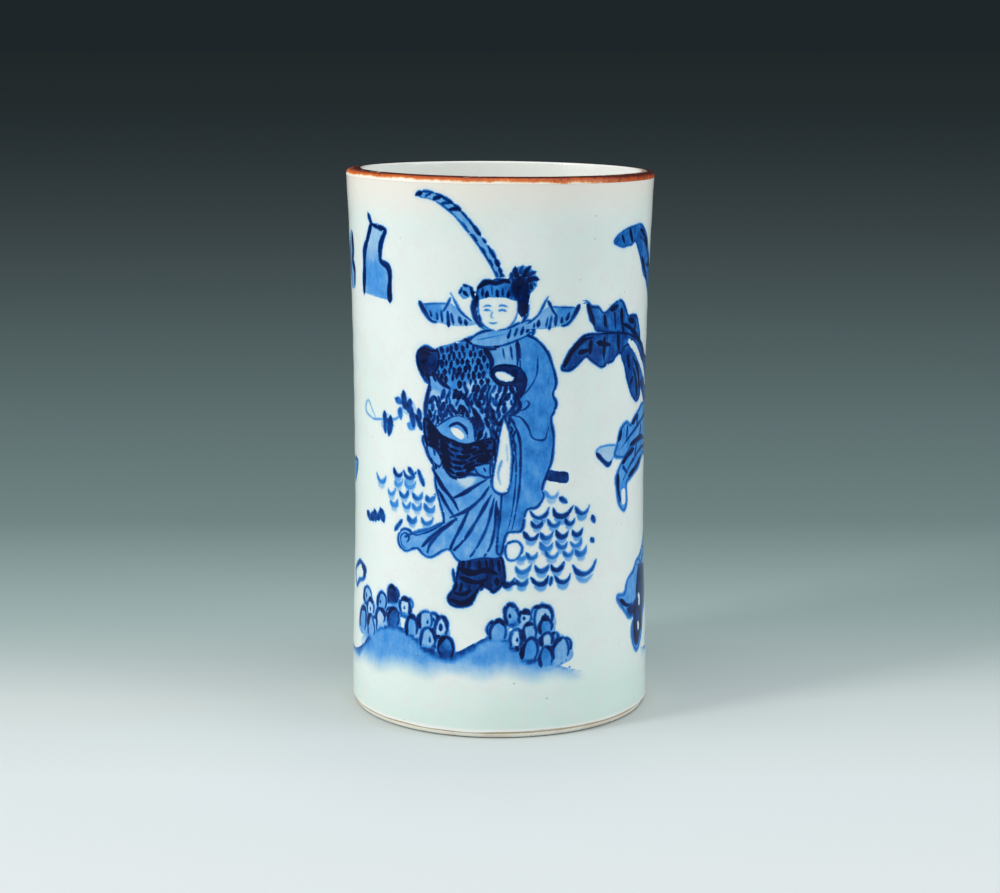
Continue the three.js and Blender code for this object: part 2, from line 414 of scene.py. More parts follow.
class Wall:
    """What the brush leaves: strokes kept by each cell of the wall, and washes kept at its points."""

    def __init__(self, centres, corners, points):
        self.centres, self.corners, self.points = centres, corners, points
        self.key = np.full((len(MARKS), len(centres)), np.inf)
        self.owner = np.full((len(MARKS), len(centres)), -1)
        self.marks = np.zeros((len(MARKS), len(centres), 4, 3))
        self.marks[..., 0] = FAR
        self.wash = np.full(len(points), FAR)
        self.tone = np.zeros(len(points))
        self.bleed = np.full(len(points), FAR)
        self.count = 0

    @staticmethod
    def near(places, shape, reach):
        """Which places lie by a shape, and where they are when the wall is unrolled about it."""
        low, high = shape.min(0) - reach, shape.max(0) + reach
        middle = (low[0] + high[0]) / 2
        x = places[:, 0] - np.round((places[:, 0] - middle) / ROUND) * ROUND
        z = places[:, 1]
        who = np.flatnonzero((x > low[0]) & (x < high[0]) & (z > low[1]) & (z < high[1]))
        return who, np.stack([x[who], z[who]], 1)

    def line(self, line, width=1.0, ink=1.0, ends=(0.6, 0.35)):
        """One stroke: the cells keep its offset, half-width and ink, and the points its halo."""
        total = np.hypot(*np.diff(line, axis=0).T).sum()
        load = 0.5 * np.sin(line[0, 0] * 3.1 + line[0, 1])

        def stroke(places, part, begun):
            offset, along, past = measured(places, part)
            s = (begun + along) / total
            # full width from a fifth of the way, and until three tenths before the end
            swell = (np.minimum(1, ends[0] + (1 - ends[0]) * s / 0.2)
                     * np.minimum(1, ends[1] + (1 - ends[1]) * (1 - s) / 0.3))
            wobble = 1 + 0.14 * np.sin(2.2 * s * max(total, 3) / 3 + line[0, 0])
            half = width / 2 * swell * wobble - TAPER * past
            return np.stack([offset, half, ink * (0.9 + 0.1 * np.cos(5 * s + load))], 1)

        for part, begun in chunks(line):
            who, places = self.near(self.centres, part, width / 2 + REACH)
            if len(who):
                middle = stroke(places, part, begun)
                key = np.abs(middle[:, 0]) - middle[:, 1]
                close = key < REACH
                who, places, key = who[close], places[close], key[close]
            if len(who):
                shift = places[:, :1] - self.centres[who, :1]
                corners = self.corners[who].copy()
                corners[..., 0] += shift
                marks = stroke(corners.reshape(-1, 2), part, begun).reshape(-1, 4, 3)
                self.keep(who, key, marks)
            who, places = self.near(self.points, part, width / 2 + BLEED)
            if len(who):
                there = stroke(places, part, begun)
                gap = np.abs(there[:, 0]) - there[:, 1] + (1 - there[:, 2]) * PALE_BLEED
                self.bleed[who] = np.minimum(self.bleed[who], gap)
        self.count += 1

    def keep(self, who, key, marks):
        """Each cell keeps the strokes that lie nearest over it, nearest first."""
        mine = np.full(len(who), self.count)
        for k in range(len(MARKS)):
            same = (self.owner[k, who] == mine) & (np.abs(self.key[k, who] - key) < SAME_EDGE)
            key = np.where(same, np.inf, key)
            old = self.key[k, who], self.owner[k, who], self.marks[k, who]
            swap = key < old[0]
            self.key[k, who] = np.where(swap, key, old[0])
            self.owner[k, who] = np.where(swap, mine, old[1])
            self.marks[k, who] = np.where(swap[:, None, None], marks, old[2])
            key = np.where(swap, old[0], key)
            mine = np.where(swap, old[1], mine)
            marks = np.where(swap[:, None, None], old[2], marks)

    def shape(self, loop, wash=0.0, cover=True, melt=None):
        """A wash, or bare glaze if it has none; it covers what lies under it, and melts away at a line."""
        closed = np.vstack([loop, loop[:1]])
        if cover:
            who, places = self.near(self.centres, loop, 0)
            who = who[inside_loop(places, loop)]
            self.key[:, who] = np.inf
            self.owner[:, who] = -1
            self.marks[:, who, :, 0] = FAR
        who, places = self.near(self.points, loop, WASH_REACH)
        if not len(who):
            return
        within = inside_loop(places, loop)
        gap = np.abs(measured(places, closed)[0]) * np.where(within, -1, 1)
        if cover:
            self.bleed[who] = np.maximum(self.bleed[who], -gap)
        if cover and wash == 0:
            self.wash[who] = np.maximum(self.wash[who], -gap)
        if wash > 0:
            tone = np.full(len(who), float(wash))
            if melt is not None:
                line, reach = melt
                t = np.clip(np.abs(measured(places, line)[0]) / reach, 0, 1)
                tone *= t * t * (3 - 2 * t)
            old, edge = self.tone[who], self.wash[who]
            laid = np.clip(0.5 - gap / WASH_EDGE, 0, 1)
            over = old + ((tone if cover else np.maximum(tone, old)) - old) * laid
            self.tone[who] = np.where(edge < 0, over, np.where(gap < edge, tone, old))
            self.wash[who] = np.minimum(edge, gap)


class Brush:
    """Brush marks in the order in which they are laid."""

    def __init__(self, wall, seed):
        self.wall = wall
        self.hand = random.Random(seed)
        self.stand()

    def stand(self, x=0.0, z=0.0, wide=1.0, tall=1.0, turn=0.0):
        """Where the marks that follow are placed, how large, and turned how far."""
        self.place, self.scale, self.turn = (x, z), (wide, tall), turn

    def placed(self, points):
        p = np.array(points, float) * self.scale
        c, s = math.cos(self.turn), math.sin(self.turn)
        return p @ np.array([[c, s], [-s, c]]) + self.place

    def line(self, *points, width=1.0, ink=1.0, ends=(0.6, 0.35), steps=6):
        width, ink = self.chosen(width), self.chosen(ink)
        self.wall.line(self.placed(flow(points, steps)), width, ink, ends)

    def shape(self, *points, wash=0.0, cover=True, melt=None, outline=0.0, ink=1.0, steps=5):
        loop = self.placed(flow(points, steps, closed=True))
        if melt is not None:
            melt = self.placed(melt[0]), melt[1]
        self.wall.shape(loop, wash, cover, melt)
        if outline:
            self.wall.line(np.vstack([loop, loop[:1]]), outline, ink, (1, 1))

    def dab(self, x, z, dx, dz, width=1.0, ink=1.0):
        self.line((x, z), (x + dx, z + dz), width=width, ink=ink, ends=(0.9, 0.5))

    def wander(self, low, high):
        return self.hand.uniform(low, high)

    def chosen(self, amount):
        """An amount, or one drawn from a range of two."""
        return self.wander(*amount) if isinstance(amount, tuple) else amount


# The painting: a plumed figure in a long robe among waves, crags, moss and plantain, in the
# blue-and-white manner, with a garden rock, bamboo and a cliff round the back

def bare(b, *points, width=1.0):
    """A line left white between washes."""
    line = flow(points, 4)
    across = headings(line)[1] * width / 2
    across *= np.minimum(1, 1.8 * np.sin(np.linspace(0.25, math.pi - 0.25, len(line))))[:, None]
    b.shape(*(line + across), *(line - across)[::-1], steps=1)


def plume(b):
    """One long feather that sweeps up and back, barbed along both edges."""
    spine = flow([(0.5, 144.6), (-1.1, 149), (-3.5, 153.6), (-6.7, 158.2), (-10.4, 163), (-14.6, 167.2),
                  (-20, 170.2), (-26, 170.9)], 6)
    across = headings(spine)[1]
    half = np.interp(np.linspace(0, 1, len(spine)), [0, 0.2, 0.7, 0.95, 1], [0.7, 1.05, 1.25, 0.95, 0.5])
    half = half[:, None]
    outer, inner = spine - across * half, spine + across * half
    b.shape(*outer, *inner[::-1], wash=0.42, steps=1)
    b.line(*inner, width=0.85, ink=1.05, steps=1)
    for k in range(2, len(spine) - 16, 5):
        b.line(inner[k] - across[k] * 0.3, inner[k + 2] - across[k + 2] * 0.45, inner[k + 3],
               width=(0.9, 1.3), ink=(0.9, 1.25), ends=(0.8, 0.5))
    for k in range(0, len(spine) - 6, 3):
        j = k + round(b.wander(2, 4))
        b.line(outer[k], outer[(k + j) // 2], outer[j], width=(1, 1.6), ink=(1, 1.35), ends=(0.7, 0.5))
    for k in range(len(spine) - 15, len(spine) - 2, 3):
        b.line(outer[k] + across[k] * b.wander(0, 0.5), spine[k + 1], inner[min(k + 2, len(spine) - 1)],
               width=(1.1, 1.7), ink=(1, 1.4), ends=(0.8, 0.6))


def ribbon(b, side, drop):
    b.stand(0, drop, side)
    b.shape((7, 131.6), (9.4, 133.4), (12.6, 136), (15.6, 138), (20, 137.6), (25.4, 137), (23, 134.2),
            (21, 132.4), (17.4, 131.2), (12, 130.8), wash=0.36)
    b.shape((19, 137.4), (25.4, 137), (23, 134.2), (20.4, 132.2), (18.4, 134), wash=0.6)
    b.line((15.4, 137.6), (19.6, 137.4), (25.2, 136.9), width=0.8, ink=0.8)
    b.line((25.6, 137.6), (24, 134.8), (21.8, 132.2), (19.6, 131.6), width=1.6, ink=1.1, ends=(1, 0.5))
    b.line((8.6, 132.6), (12, 135.4), (14.4, 139.8), (15.2, 141), ink=(0.75, 1.1))
    b.line((15, 139.6), (16.8, 136.2), (18.2, 134.6), width=1.2, ink=(0.9, 1.2))
    for x, z, tall in ((14.2, 131.4, 3.4), (15.8, 130.8, 4), (17.6, 132, 3.2), (12.2, 131.6, 2.2),
            (19.6, 132.4, 2.6), (21.4, 133.4, 2.2), (10.4, 131.4, 1.6)):
        b.dab(x + b.wander(-0.3, 0.3), z, b.wander(0.1, 0.9), tall * b.wander(0.8, 1.15), width=(1, 1.6),
              ink=(0.85, 1.25))
    b.stand()


def head(b):
    ribbon(b, -1, 0)
    ribbon(b, 1, -0.9)
    # pompom at the left, and the cord that ties it to the cap
    b.shape((-12.4, 141.2), (-11.7, 143.1), (-10.2, 143.9), (-8.6, 143.2), (-7.8, 141.8), (-8.9, 140.2),
            (-10.6, 139.2), (-12, 140), wash=0.5)
    for x, z, dx, dz in ((-12.2, 140.9, 0.8, 1.8), (-10.9, 143.5, 1.6, -0.5), (-10.9, 141.4, 1.3, -1.3),
            (-8.8, 142.8, 0.6, -1.5)):
        b.dab(x, z, dx, dz, width=(1, 1.5), ink=(0.95, 1.3))
    b.line((-8.4, 141.6), (-6.8, 139.1), (-4.9, 137.2), width=2.3, ink=1.35, ends=(0.7, 0.5))
    # hair
    b.shape((-7.2, 136), (-7.2, 140.4), (-6.4, 143.2), (-2.6, 145.2), (1.4, 145.8), (5.4, 144.4), (8, 141),
            (8.2, 136.4), (6.8, 133.6), (4, 137), (-5, 138), wash=1.2)
    # face: calm, plain, on the usual proportions, turned a little to the left
    b.shape((-6.1, 140.4), (-6.5, 137.4), (-6.2, 134.2), (-4.9, 131.4), (-2.4, 129.8), (0.8, 129.9),
            (3.6, 131.4), (5.2, 134.2), (5.6, 137.6), (5, 140.6), (1.8, 141.8), (-3, 141.8), outline=0.6)
    b.shape((-6.4, 139.4), (-3, 139.9), (1.8, 139.8), (5.4, 138.9), (6, 143), (2, 144.8), (-3, 144.8),
            (-6.2, 143.4), wash=0.72)
    for x, tall, wide in ((-5.2, 1.5, 0.9), (-3.9, 1, 1.3), (-2.2, 1.9, 0.8), (-0.6, 1.2, 1.2),
            (1, 1.7, 0.9), (2.6, 1, 1.3), (4.3, 1.5, 1)):
        b.dab(x, 139.9 + 0.3 * tall, b.wander(-0.3, 0.3), tall * 1.7, width=wide * 1.15, ink=(0.95, 1.45))
    b.line((-6.6, 142.6), (-4, 144.6), (-1, 144.2), (1.5, 145), (4, 144.2), width=1.8, ink=1.4)
    b.line((-4.9, 137), (-3.8, 137.4), (-2.6, 137.2), width=0.55, ends=(0.6, 0.6))
    b.line((-0.4, 137.2), (1, 137.5), (2.4, 137), width=0.55, ends=(0.6, 0.6))
    b.line((-4.7, 135.8), (-3.8, 136.1), (-2.8, 135.8), width=0.6, ends=(0.8, 0.8))
    b.line((-0.3, 135.8), (0.8, 136.1), (2, 135.7), width=0.6, ends=(0.8, 0.8))
    b.line((-2, 135.8), (-2.6, 133.9), (-1.8, 133.6), width=0.42, ink=0.8)
    b.line((-3.1, 132.1), (-2, 131.9), (-0.9, 132.2), width=0.6, ends=(0.8, 0.8))
    b.line((5.8, 138.4), (7, 137.6), (6.8, 135.6), (5.6, 135), width=0.6)
    b.line((7.8, 141.2), (8.6, 137), (7.8, 133.4), (6.6, 131.8), width=1.6, ink=1.05)
    b.line((-6.8, 140.4), (-7.9, 136.8), (-7.4, 133.4), (-5.6, 130.8), width=1.9, ink=1.2, ends=(0.8, 0.5))
    b.line((-6.2, 134.6), (-5.8, 132), (-4.4, 130.6), width=1.1, ink=1.1)
    # topknot and its pins
    b.shape((3, 145), (4, 148.4), (7.2, 149.6), (10.4, 148), (11.6, 144.6), (10.2, 141.6), (7.2, 140.8),
            (4, 142), wash=0.5)
    for turn, low, long, ink in ((138, 1.4, 2.6, 1), (112, 1.8, 3, 1.35), (84, 1.6, 3.4, 0.9),
            (58, 2, 3.6, 1.3), (34, 1.6, 3.8, 1), (8, 2, 3.4, 1.3), (-14, 1.8, 3, 0.8), (-32, 1.6, 2.6, 1.2)):
        c, d = math.cos(math.radians(turn)), math.sin(math.radians(turn))
        mid, end = low + long / 2, low + long
        b.line((6.5 + low * c, 144.6 + low * d), (6.5 + mid * c - 0.5 * d, 144.6 + mid * d + 0.5 * c),
               (6.5 + end * c, 144.6 + end * d), width=(1.5, 2.2), ink=ink, ends=(0.9, 0.6))
    b.shape((3.4, 142), (3.9, 144.8), (5.4, 146.4), (7.2, 146.4), (8.9, 144.6), (9.3, 141.4), (8.8, 137.6),
            (8.2, 134.4), (6.8, 134.8), (6.4, 138.4), (4.4, 140), wash=1.5)


def cloak(b):
    b.shape((4, 128.2), (8, 128.4), (11.9, 126.4), (15.2, 122.4), (17.2, 117), (18, 112.6), (16.9, 109.6),
            (18.1, 106.8), (17.4, 104), (16.4, 101.8), (17.3, 96), (16.7, 88.7), (15, 84.4), (13.6, 79.9),
            (14.2, 77.6), (11.9, 74.2), (8.4, 73.2), (7.2, 67.2), (4.4, 66.6), (2.2, 65.9), (0.6, 60),
            (-0.8, 61), (0.4, 74), (1.4, 90), (1, 104), (2.4, 118), wash=0.6, outline=1.15)
    b.line((11.9, 121.7), (11.6, 116), (9.2, 111.6), (6.7, 109.2), (4.3, 106.6), width=0.85, ink=0.95)
    b.line((2, 104.2), (5.4, 104.6), (8.2, 105.4), (9.4, 107), (8.4, 107.9), (7.4, 107), ink=0.95)
    b.line((3.2, 103.6), (6.6, 102.6), (9, 99.6), (10.2, 96.4), (12.6, 95.3), (14.4, 95.6), (15.2, 98),
           (16.3, 101.4), width=0.95)
    b.line((15.9, 115.4), (15.3, 113.6), (15.8, 112), width=0.7, ink=0.8)
    b.line((2.6, 103), (4.8, 100), (6.4, 95), (6.6, 88), (6.2, 80), (5, 72.4), (3.8, 66.6), width=1.15)
    b.line((2, 102.4), (3.6, 98.6), (4.9, 93), (5.2, 86.4), (4.8, 79), (3.8, 72), (2.4, 66.4), width=0.9)
    b.line((12.4, 84), (12, 78.6), (10.8, 75.4), width=0.6, ink=0.6)


def sheath_end(b):
    b.shape((14.8, 85.8), (18.6, 85.2), (22.4, 84.4), (22.2, 81.2), (18.4, 81.8), (14.8, 82.8), wash=1.1,
            steps=2)
    b.line((17.2, 84.2), (20.6, 83.4), width=0.6, ink=1.3)


def skirt(b):
    b.shape((-24, 96), (-23.9, 91), (-21.2, 86.2), (-20.6, 80.5), (-19.2, 75), (-17.9, 69.2), (-22.4, 66),
            (-27.9, 63.9), (-31, 65.2), (-33.6, 64.9), (-35.3, 62.4), (-34.6, 59.6), (-31.9, 58.2),
            (-29, 59.4), (-27, 59.6), (-25, 57.9), (-22.2, 57.4), (-18.4, 59.8), (-15.9, 60.4),
            (-13.6, 57.6), (-11.6, 56.8), (-8.4, 57.6), (-4.6, 58.2), (0.2, 58.6), (1.6, 64), (1.4, 72),
            (0.4, 80), (-2, 88), (-8, 93), wash=0.45, outline=1.0)
    folds = (((-17.6, 69), (-23, 66.4), (-29.4, 64.2), (-32.4, 62.6)),
             ((-17, 68), (-21.6, 64.4), (-25.6, 60.4)),
             ((-13.4, 70.6), (-18.4, 66.4), (-22.6, 61.6), (-23.6, 58.6)),
             ((-9.4, 74), (-11.6, 69), (-14.4, 63.6), (-15.8, 60.4)),
             ((-2.4, 78.6), (-6.6, 71), (-11, 64), (-14.6, 60.2)),
             ((-1.6, 77.4), (-3.6, 69), (-6.6, 62.4), (-9.2, 58.4)),
             ((-0.9, 76.6), (-1.4, 68), (-2.8, 62), (-4.8, 58.6)))
    for fold in folds:
        b.line(*fold, width=(1.3, 1.6), ink=(0.85, 1.1), ends=(0.6, 0.8))
    # the lifted corner of the hem, its lining left white
    b.shape((2.4, 62.8), (5.4, 63.6), (7.2, 61.4), (5.8, 58.2), (3, 57.6), (1.8, 60), outline=1.0, ink=0.95)
    b.line((-31.8, 60.8), (-30.6, 62.6), (-32.2, 64), (-34.2, 62.6), (-33.6, 60), (-31.6, 59), width=0.9)
    b.line((-21.8, 86), (-18.4, 80.4), (-15, 76.6), (-12.8, 72.8), width=1.6, ink=1.2)
    b.line((-20, 79.6), (-16.6, 74), (-13.2, 69.6), width=1.3, ink=1.1)
    b.line((-14.8, 76.8), (-11.6, 78.4), (-7.6, 81), (-3.6, 83.4), width=1.5, ink=1.15)
    b.line((-15.8, 70.6), (-10, 73.4), (-5.4, 77.6), (-2.6, 82), width=1.5)
    b.line((-1.2, 76), (0.2, 70.4), (0.9, 64.4), (0.6, 59.4), width=1.3)
    b.line((-0.4, 72), (-0.8, 66.8), (-1, 63), ink=0.9)


def boots(b):
    b.shape((-3, 59), (0.4, 58.8), (1.6, 54), (1.7, 51), (0.4, 49.4), (-1.8, 47.4), (-3.6, 48.6),
            (-6.4, 51), wash=1.15, outline=1.0, ink=1.3)
    b.shape((-12.2, 57.4), (-9, 58.6), (-3, 58.8), (-3.6, 53), (-5.6, 49.6), (-7.4, 46.4), (-8.8, 43.6),
            (-12, 42.4), (-15.2, 42.8), (-16.4, 45), (-14.8, 47.6), (-13.6, 51.6), wash=1.1, outline=1.0,
            ink=1.3)
    b.line((-12.6, 54.6), (-8.6, 53.4), (-4.4, 54.4), (-0.4, 53.2), width=2.4, ink=1.45)
    b.line((-12.4, 51.8), (-7.4, 50.4), (-3.4, 51.8), width=2.0, ink=1.4)
    b.line((-15.6, 44.6), (-12, 43.6), (-8.8, 45), (-6.6, 48.6), width=2.1, ink=1.45)
    b.line((-14.6, 46.8), (-11.4, 46.4), (-8.6, 48.2), width=1.7, ink=1.3)
    for x, z, dx, dz in ((-11.2, 57.4, -0.8, -4), (-9.4, 57.8, -0.2, -3.4), (-6.4, 57.8, 0.2, -4.4),
            (-4.2, 57.8, 0.4, -3.4), (-2.2, 58.2, 0.2, -4.6), (-0.3, 57.8, 0.4, -4),
            (-11.8, 50.2, -0.8, -3.6), (-9.4, 49.6, -0.4, -3), (-5.2, 50.8, -0.6, -3),
            (-0.8, 52, 0.2, -2.6), (-13.6, 49.8, -1, -2.6)):
        b.line((x, z), (x + dx, z + dz), width=(1.2, 1.9), ink=(1.15, 1.55))
    b.line((-14.8, 54.4), (-14.2, 51), (-13, 48.6), width=1.5, ink=1.1)
    b.line((0.6, 50.4), (2.4, 49.4), (4.4, 50.4), (6, 49.6), width=1.8, ink=1.2)


def tunic(b):
    b.shape((-26.6, 121), (-26.4, 117.6), (-24, 114.4), (-22.3, 111.3), (-23.4, 106), (-24, 100.7),
            (-24.2, 96), (-19, 90), (-10, 86.4), (-3, 88), (-1, 93), (0.6, 99), (2.2, 103.4), (5.4, 106.4),
            (6.9, 112), (6.4, 119), (5.4, 126.4), (-1, 128), (-8, 127.6), (-13, 125.6), (-19.6, 123),
            (-24, 124), wash=0.45, outline=1.0)
    # lighter cloth that shows between the dabs, and the shoulder piece under dark upright strokes
    for patch in (((-22, 110.4), (-17, 108.4), (-13, 104.4), (-15, 101.6), (-21, 103)),
                  ((-3, 111.4), (3.4, 111), (4, 106.6), (0.8, 103.6), (-2.6, 106)),
                  ((-10.4, 112.6), (-5.4, 115), (-4, 110.6), (-7, 107.6), (-10, 109))):
        b.shape(*patch, wash=0.22)
    b.shape((-20.4, 123), (-13, 125.6), (-7, 127), (-3.2, 126), (-2.4, 119), (-5.4, 115), (-10.6, 113.2),
            (-14.6, 110.4), (-19.6, 114), wash=0.66)
    for row in range(6):
        for k in range(11):
            x = -20 + k * 1.7 + 0.85 * (row % 2) + b.wander(-0.3, 0.3)
            z = 122.8 + 0.24 * k - row * 2.25 + b.wander(-0.4, 0.4)
            if x < -3.2 and z > 111.6 - 0.35 * (x + 12):
                b.line((x + b.wander(-0.3, 0.3), z + b.wander(0.9, 1.5)), (x, z),
                       (x - 0.1, z - b.wander(0.5, 1.2)), width=(1.1, 1.75), ink=(1.1, 1.6), ends=(0.5, 0.7))
    # brocade of flame-like dabs
    for row in range(14):
        z = 87.2 + row * 2.0
        for k in range(17):
            x = -24 + 1.72 * k + 0.86 * (row % 2) + b.wander(-0.5, 0.5)
            clear = z < 110.5 + 0.28 * (x + 14) if x < -3 else z < 113
            if -23.4 + 0.1 * abs(z - 100) < x < 5 and clear and b.wander(0, 1) > 0.12:
                lean = b.wander(-0.8, 0.9)
                b.line((x - lean, z - b.wander(0.8, 1.5)), (x + 0.15, z),
                       (x + lean, z + b.wander(0.8, 1.9)), width=(1.1, 2.2), ink=(0.9, 1.5), ends=(0.6, 0.7))
    # the edge of the shoulder piece, heaped dark
    b.line((-20.6, 116), (-18.6, 113.2), (-15.4, 111.2), width=1.6, ink=1.3, ends=(0.8, 0.5))
    b.line((-14.4, 111), (-11.6, 109.6), (-9.4, 107.2), (-8, 104.6), width=1.5, ink=1.2, ends=(0.6, 0.8))
    b.line((-8.2, 105.4), (-6.6, 101.8), (-7.2, 98.6), width=2.2, ink=1.3)
    b.shape((-26.8, 121.6), (-24.6, 123.4), (-21.6, 122.6), (-19.6, 122.8), (-19.2, 119.6), (-20.4, 116.4),
            (-22.8, 114.8), (-25, 115.4), (-26.6, 118), wash=1.25, outline=1.1, ink=1.4)
    for x, z, dx, dz in ((-25.8, 117, 1.6, -3.4), (-23.6, 115.6, 1.4, -3.4), (-21.4, 116, 1.2, -3),
            (-25.4, 122.2, 3.6, -0.6), (-25.6, 119, 2.4, 0.6)):
        b.line((x, z), (x + dx, z + dz), width=1.5, ink=1.4)
    b.line((-26.4, 118.2), (-24.4, 114.2), (-22.2, 111.6), width=1.5, ink=1.15)
    b.line((-22.4, 112.4), (-23.8, 106), (-24.4, 99), width=1.7, ink=1.2)
    b.line((-10.6, 126.8), (-6, 125), (-0.6, 124.6), (4, 126.4), width=2.0, ink=1.25)
    b.line((-4.6, 124.2), (-2.4, 120.4), (-2.8, 117.4), width=2.2, ink=1.25)
    b.shape((-0.6, 124.4), (2.6, 124.8), (3.4, 120.4), (0.4, 120.2), wash=0.46)
    b.line((1, 124.2), (1.6, 120.6), width=0.8)
    b.line((5.2, 127.4), (5.8, 122.6), (5.4, 118), width=1.5, ink=1.15)
    b.line((3.4, 125), (4, 120.4), width=1.1, ink=1.1)


def arms(b):
    # hand on the hip: a white opening in a heavy cuff
    b.shape((-2.8, 116.4), (-0.8, 118.6), (2.6, 118.9), (6.2, 118), (8.2, 114.6), (7.6, 110.6),
            (5.4, 108.4), (5.4, 112.2), (3.6, 112.8), (0, 113), wash=1.35, outline=0.9, ink=1.4)
    b.shape((-1.6, 116.6), (1, 117.2), (3.6, 116), (4.9, 114.6), (2.6, 113.8), (-0.2, 114.4), outline=0.5)
    b.line((-3, 112.6), (-3.8, 109), (-2.6, 105.6), (0.6, 103.2), width=1.2, ink=1.15)
    b.line((4.4, 111.4), (5, 107.6), (3.2, 104.6), (0.6, 103), width=1.3, ink=1.15)
    b.line((5.6, 109), (6.4, 106), (4.6, 103.8), (2, 103.2), width=1.5, ink=1.1)
    # the sleeve that gathers over the other hand, and the hand as a white dome over the belt
    b.shape((-20.4, 99), (-17.4, 101.4), (-13.2, 103), (-9.6, 101.8), (-7.8, 98.6), (-7.6, 94.6),
            (-11, 93.6), (-15, 94.6), (-19, 96), wash=0.46)
    b.line((-20.2, 99), (-17, 101.4), (-13, 103), (-9.4, 101.6), width=0.9, ink=0.95)
    b.line((-9, 102.6), (-7.6, 99), (-7.6, 95), width=1.3, ink=1.1)
    b.shape((-15.6, 98.6), (-14.3, 99.2), (-12.3, 98.4), (-10.9, 96.7), (-11.7, 95.5), (-13.9, 96.5))
    b.line((-16.1, 99.3), (-13.5, 100.6), (-11.3, 99.6), (-10.2, 97.9), (-9.8, 96), width=1.3, ink=1.25)


def belt(b):
    top = ((-24.6, 101), (-21.6, 99.4), (-18.4, 96.2), (-14.4, 94.8), (-10, 93.8), (-5.4, 95.4), (-1.6, 95.6))
    low = ((-23.6, 93.4), (-19.8, 91.6), (-18, 87.4), (-15.4, 83.8), (-11.6, 83.6), (-8.6, 86.2),
           (-4.6, 88), (-2.4, 90.4))
    b.shape(*top, *low[::-1], wash=0.95, outline=1.2, ink=1.45)
    for row in range(6):
        x = -23.6 + b.wander(0, 1)
        while x < -3.4:
            end = min(x + b.wander(2.4, 5), -2.4)
            places = []
            for p in (x, (x + end) / 2, end):
                under = np.interp(p, *zip(*low))
                places.append((p, under + (np.interp(p, *zip(*top)) - under) * (row + 0.5) / 6))
            b.line(*places, width=(1.4, 2), ink=(1.3, 1.6), ends=(0.7, 0.6))
            x = end + b.wander(0.4, 0.9)
    b.shape((-23.6, 93), (-20.4, 91.6), (-18.4, 88), (-19.8, 86.6), (-22.8, 89.6), wash=0.45, outline=0.9,
            ink=1.1)
    b.line((-21.4, 93.4), (-20.8, 89.8), width=1.3, ink=1.1)
    b.shape((-7.4, 87.2), (-3.2, 88.4), (-1.6, 86), (-3.4, 83.8), (-6.6, 84.8), wash=0.62, outline=1.1)
    b.dab(-4.8, 86.8, 0.6, -1.4, width=0.9, ink=1.1)
    b.shape((-13.6, 82.8), (-10.4, 84.2), (-7.4, 83.4), (-10, 80.4), wash=0.14)
    b.line((-12.8, 83.4), (-9.4, 84.8), (-6, 84.2), width=1.5, ink=1.15)
    # the hanging end of the sash, left white
    b.shape((1.2, 102.4), (-0.2, 96.4), (-1.1, 90), (-2.2, 84), (-1.9, 80.2), (0.4, 78.6), (2.7, 79.6),
            (3.8, 84.6), (3.9, 92.6), (2.9, 99), outline=1.05)
    b.line((0.8, 89.4), (-0.4, 85), (0.4, 81.6), ink=0.42)
    b.line((2.2, 94.4), (2.6, 88.6), width=0.6, ink=0.25)
    b.line((-0.4, 101), (-1.6, 94), (-2.8, 86.6), (-2.6, 80.6), width=1.1, ink=1.1)


def collar(b):
    b.shape((-9.2, 126.2), (-6, 129), (-2, 130), (2.4, 130.4), (6.4, 132.2), (9.8, 132.6), (9.6, 129),
            (5.6, 126.8), (0.4, 125), (-5.6, 124.6), wash=0.4, outline=1.0)
    b.line((-7.4, 126.6), (-2, 127.8), (3, 128.8), width=0.6, ink=0.8)
    for x in (2.6, 4.6, 6.6, 8.4):
        b.line((x, 126.6 + 0.3 * x), (x + 0.9, 129.6 + 0.2 * x), width=1.2, ink=1.1, ends=(0.9, 0.7))
    b.line((9.6, 132.4), (10.6, 130), (9.8, 127.6), width=1.6, ink=1.1)
    b.line((-6.4, 137), (-6.8, 133), (-5, 130.4), (-2.8, 129.4), width=1.2, ink=1.05)


def spray(b):
    b.line((-24.2, 99.2), (-28.1, 101), (-30.3, 102.6), (-32.1, 104.9), (-34, 101.9), (-36, 99.9),
           (-39.2, 99.7), (-42, 99.1), (-48.4, 98.4), width=0.9, ink=0.6, ends=(0.9, 0.7))
    b.line((-47.6, 98.4), (-52.6, 100), (-53, 102.4), (-51, 104), (-48.6, 101.4), (-46.6, 99.4), width=0.9,
           ink=0.45)
    for x0, z0, x1, z1, ink in ((-32.5, 109, -31.9, 103.8, 1.05), (-35.6, 106.3, -33.3, 105.3, 0.75),
            (-34, 103.5, -33.8, 100.4, 0.7), (-29.8, 106.5, -30.1, 104, 0.95),
            (-31.2, 105.4, -29, 102.2, 1), (-29.2, 102.8, -28.6, 98.2, 0.9), (-26.5, 104, -26.2, 100.7, 1),
            (-27.6, 102, -25.5, 97.8, 1.05), (-41.4, 101.4, -41, 95.2, 0.9), (-38.4, 100.4, -39.3, 94.5, 1),
            (-40.4, 99.2, -37.4, 97.7, 0.8), (-30.6, 98.8, -28.4, 97.8, 0.5)):
        b.line((x0, z0), ((x0 + x1) / 2 + b.wander(-0.2, 0.2), (z0 + z1) / 2), (x1, z1), width=(2.2, 3),
               ink=ink * 1.05, ends=(0.7, 0.6))
    for x, z in ((-30.6, 104.6), (-27, 101.4), (-40, 98.4)):
        b.shape((x - 3.4, z - 1.4), (x - 0.6, z + 3), (x + 2.8, z + 0.6), (x + 1.4, z - 3), wash=0.22,
                cover=False)


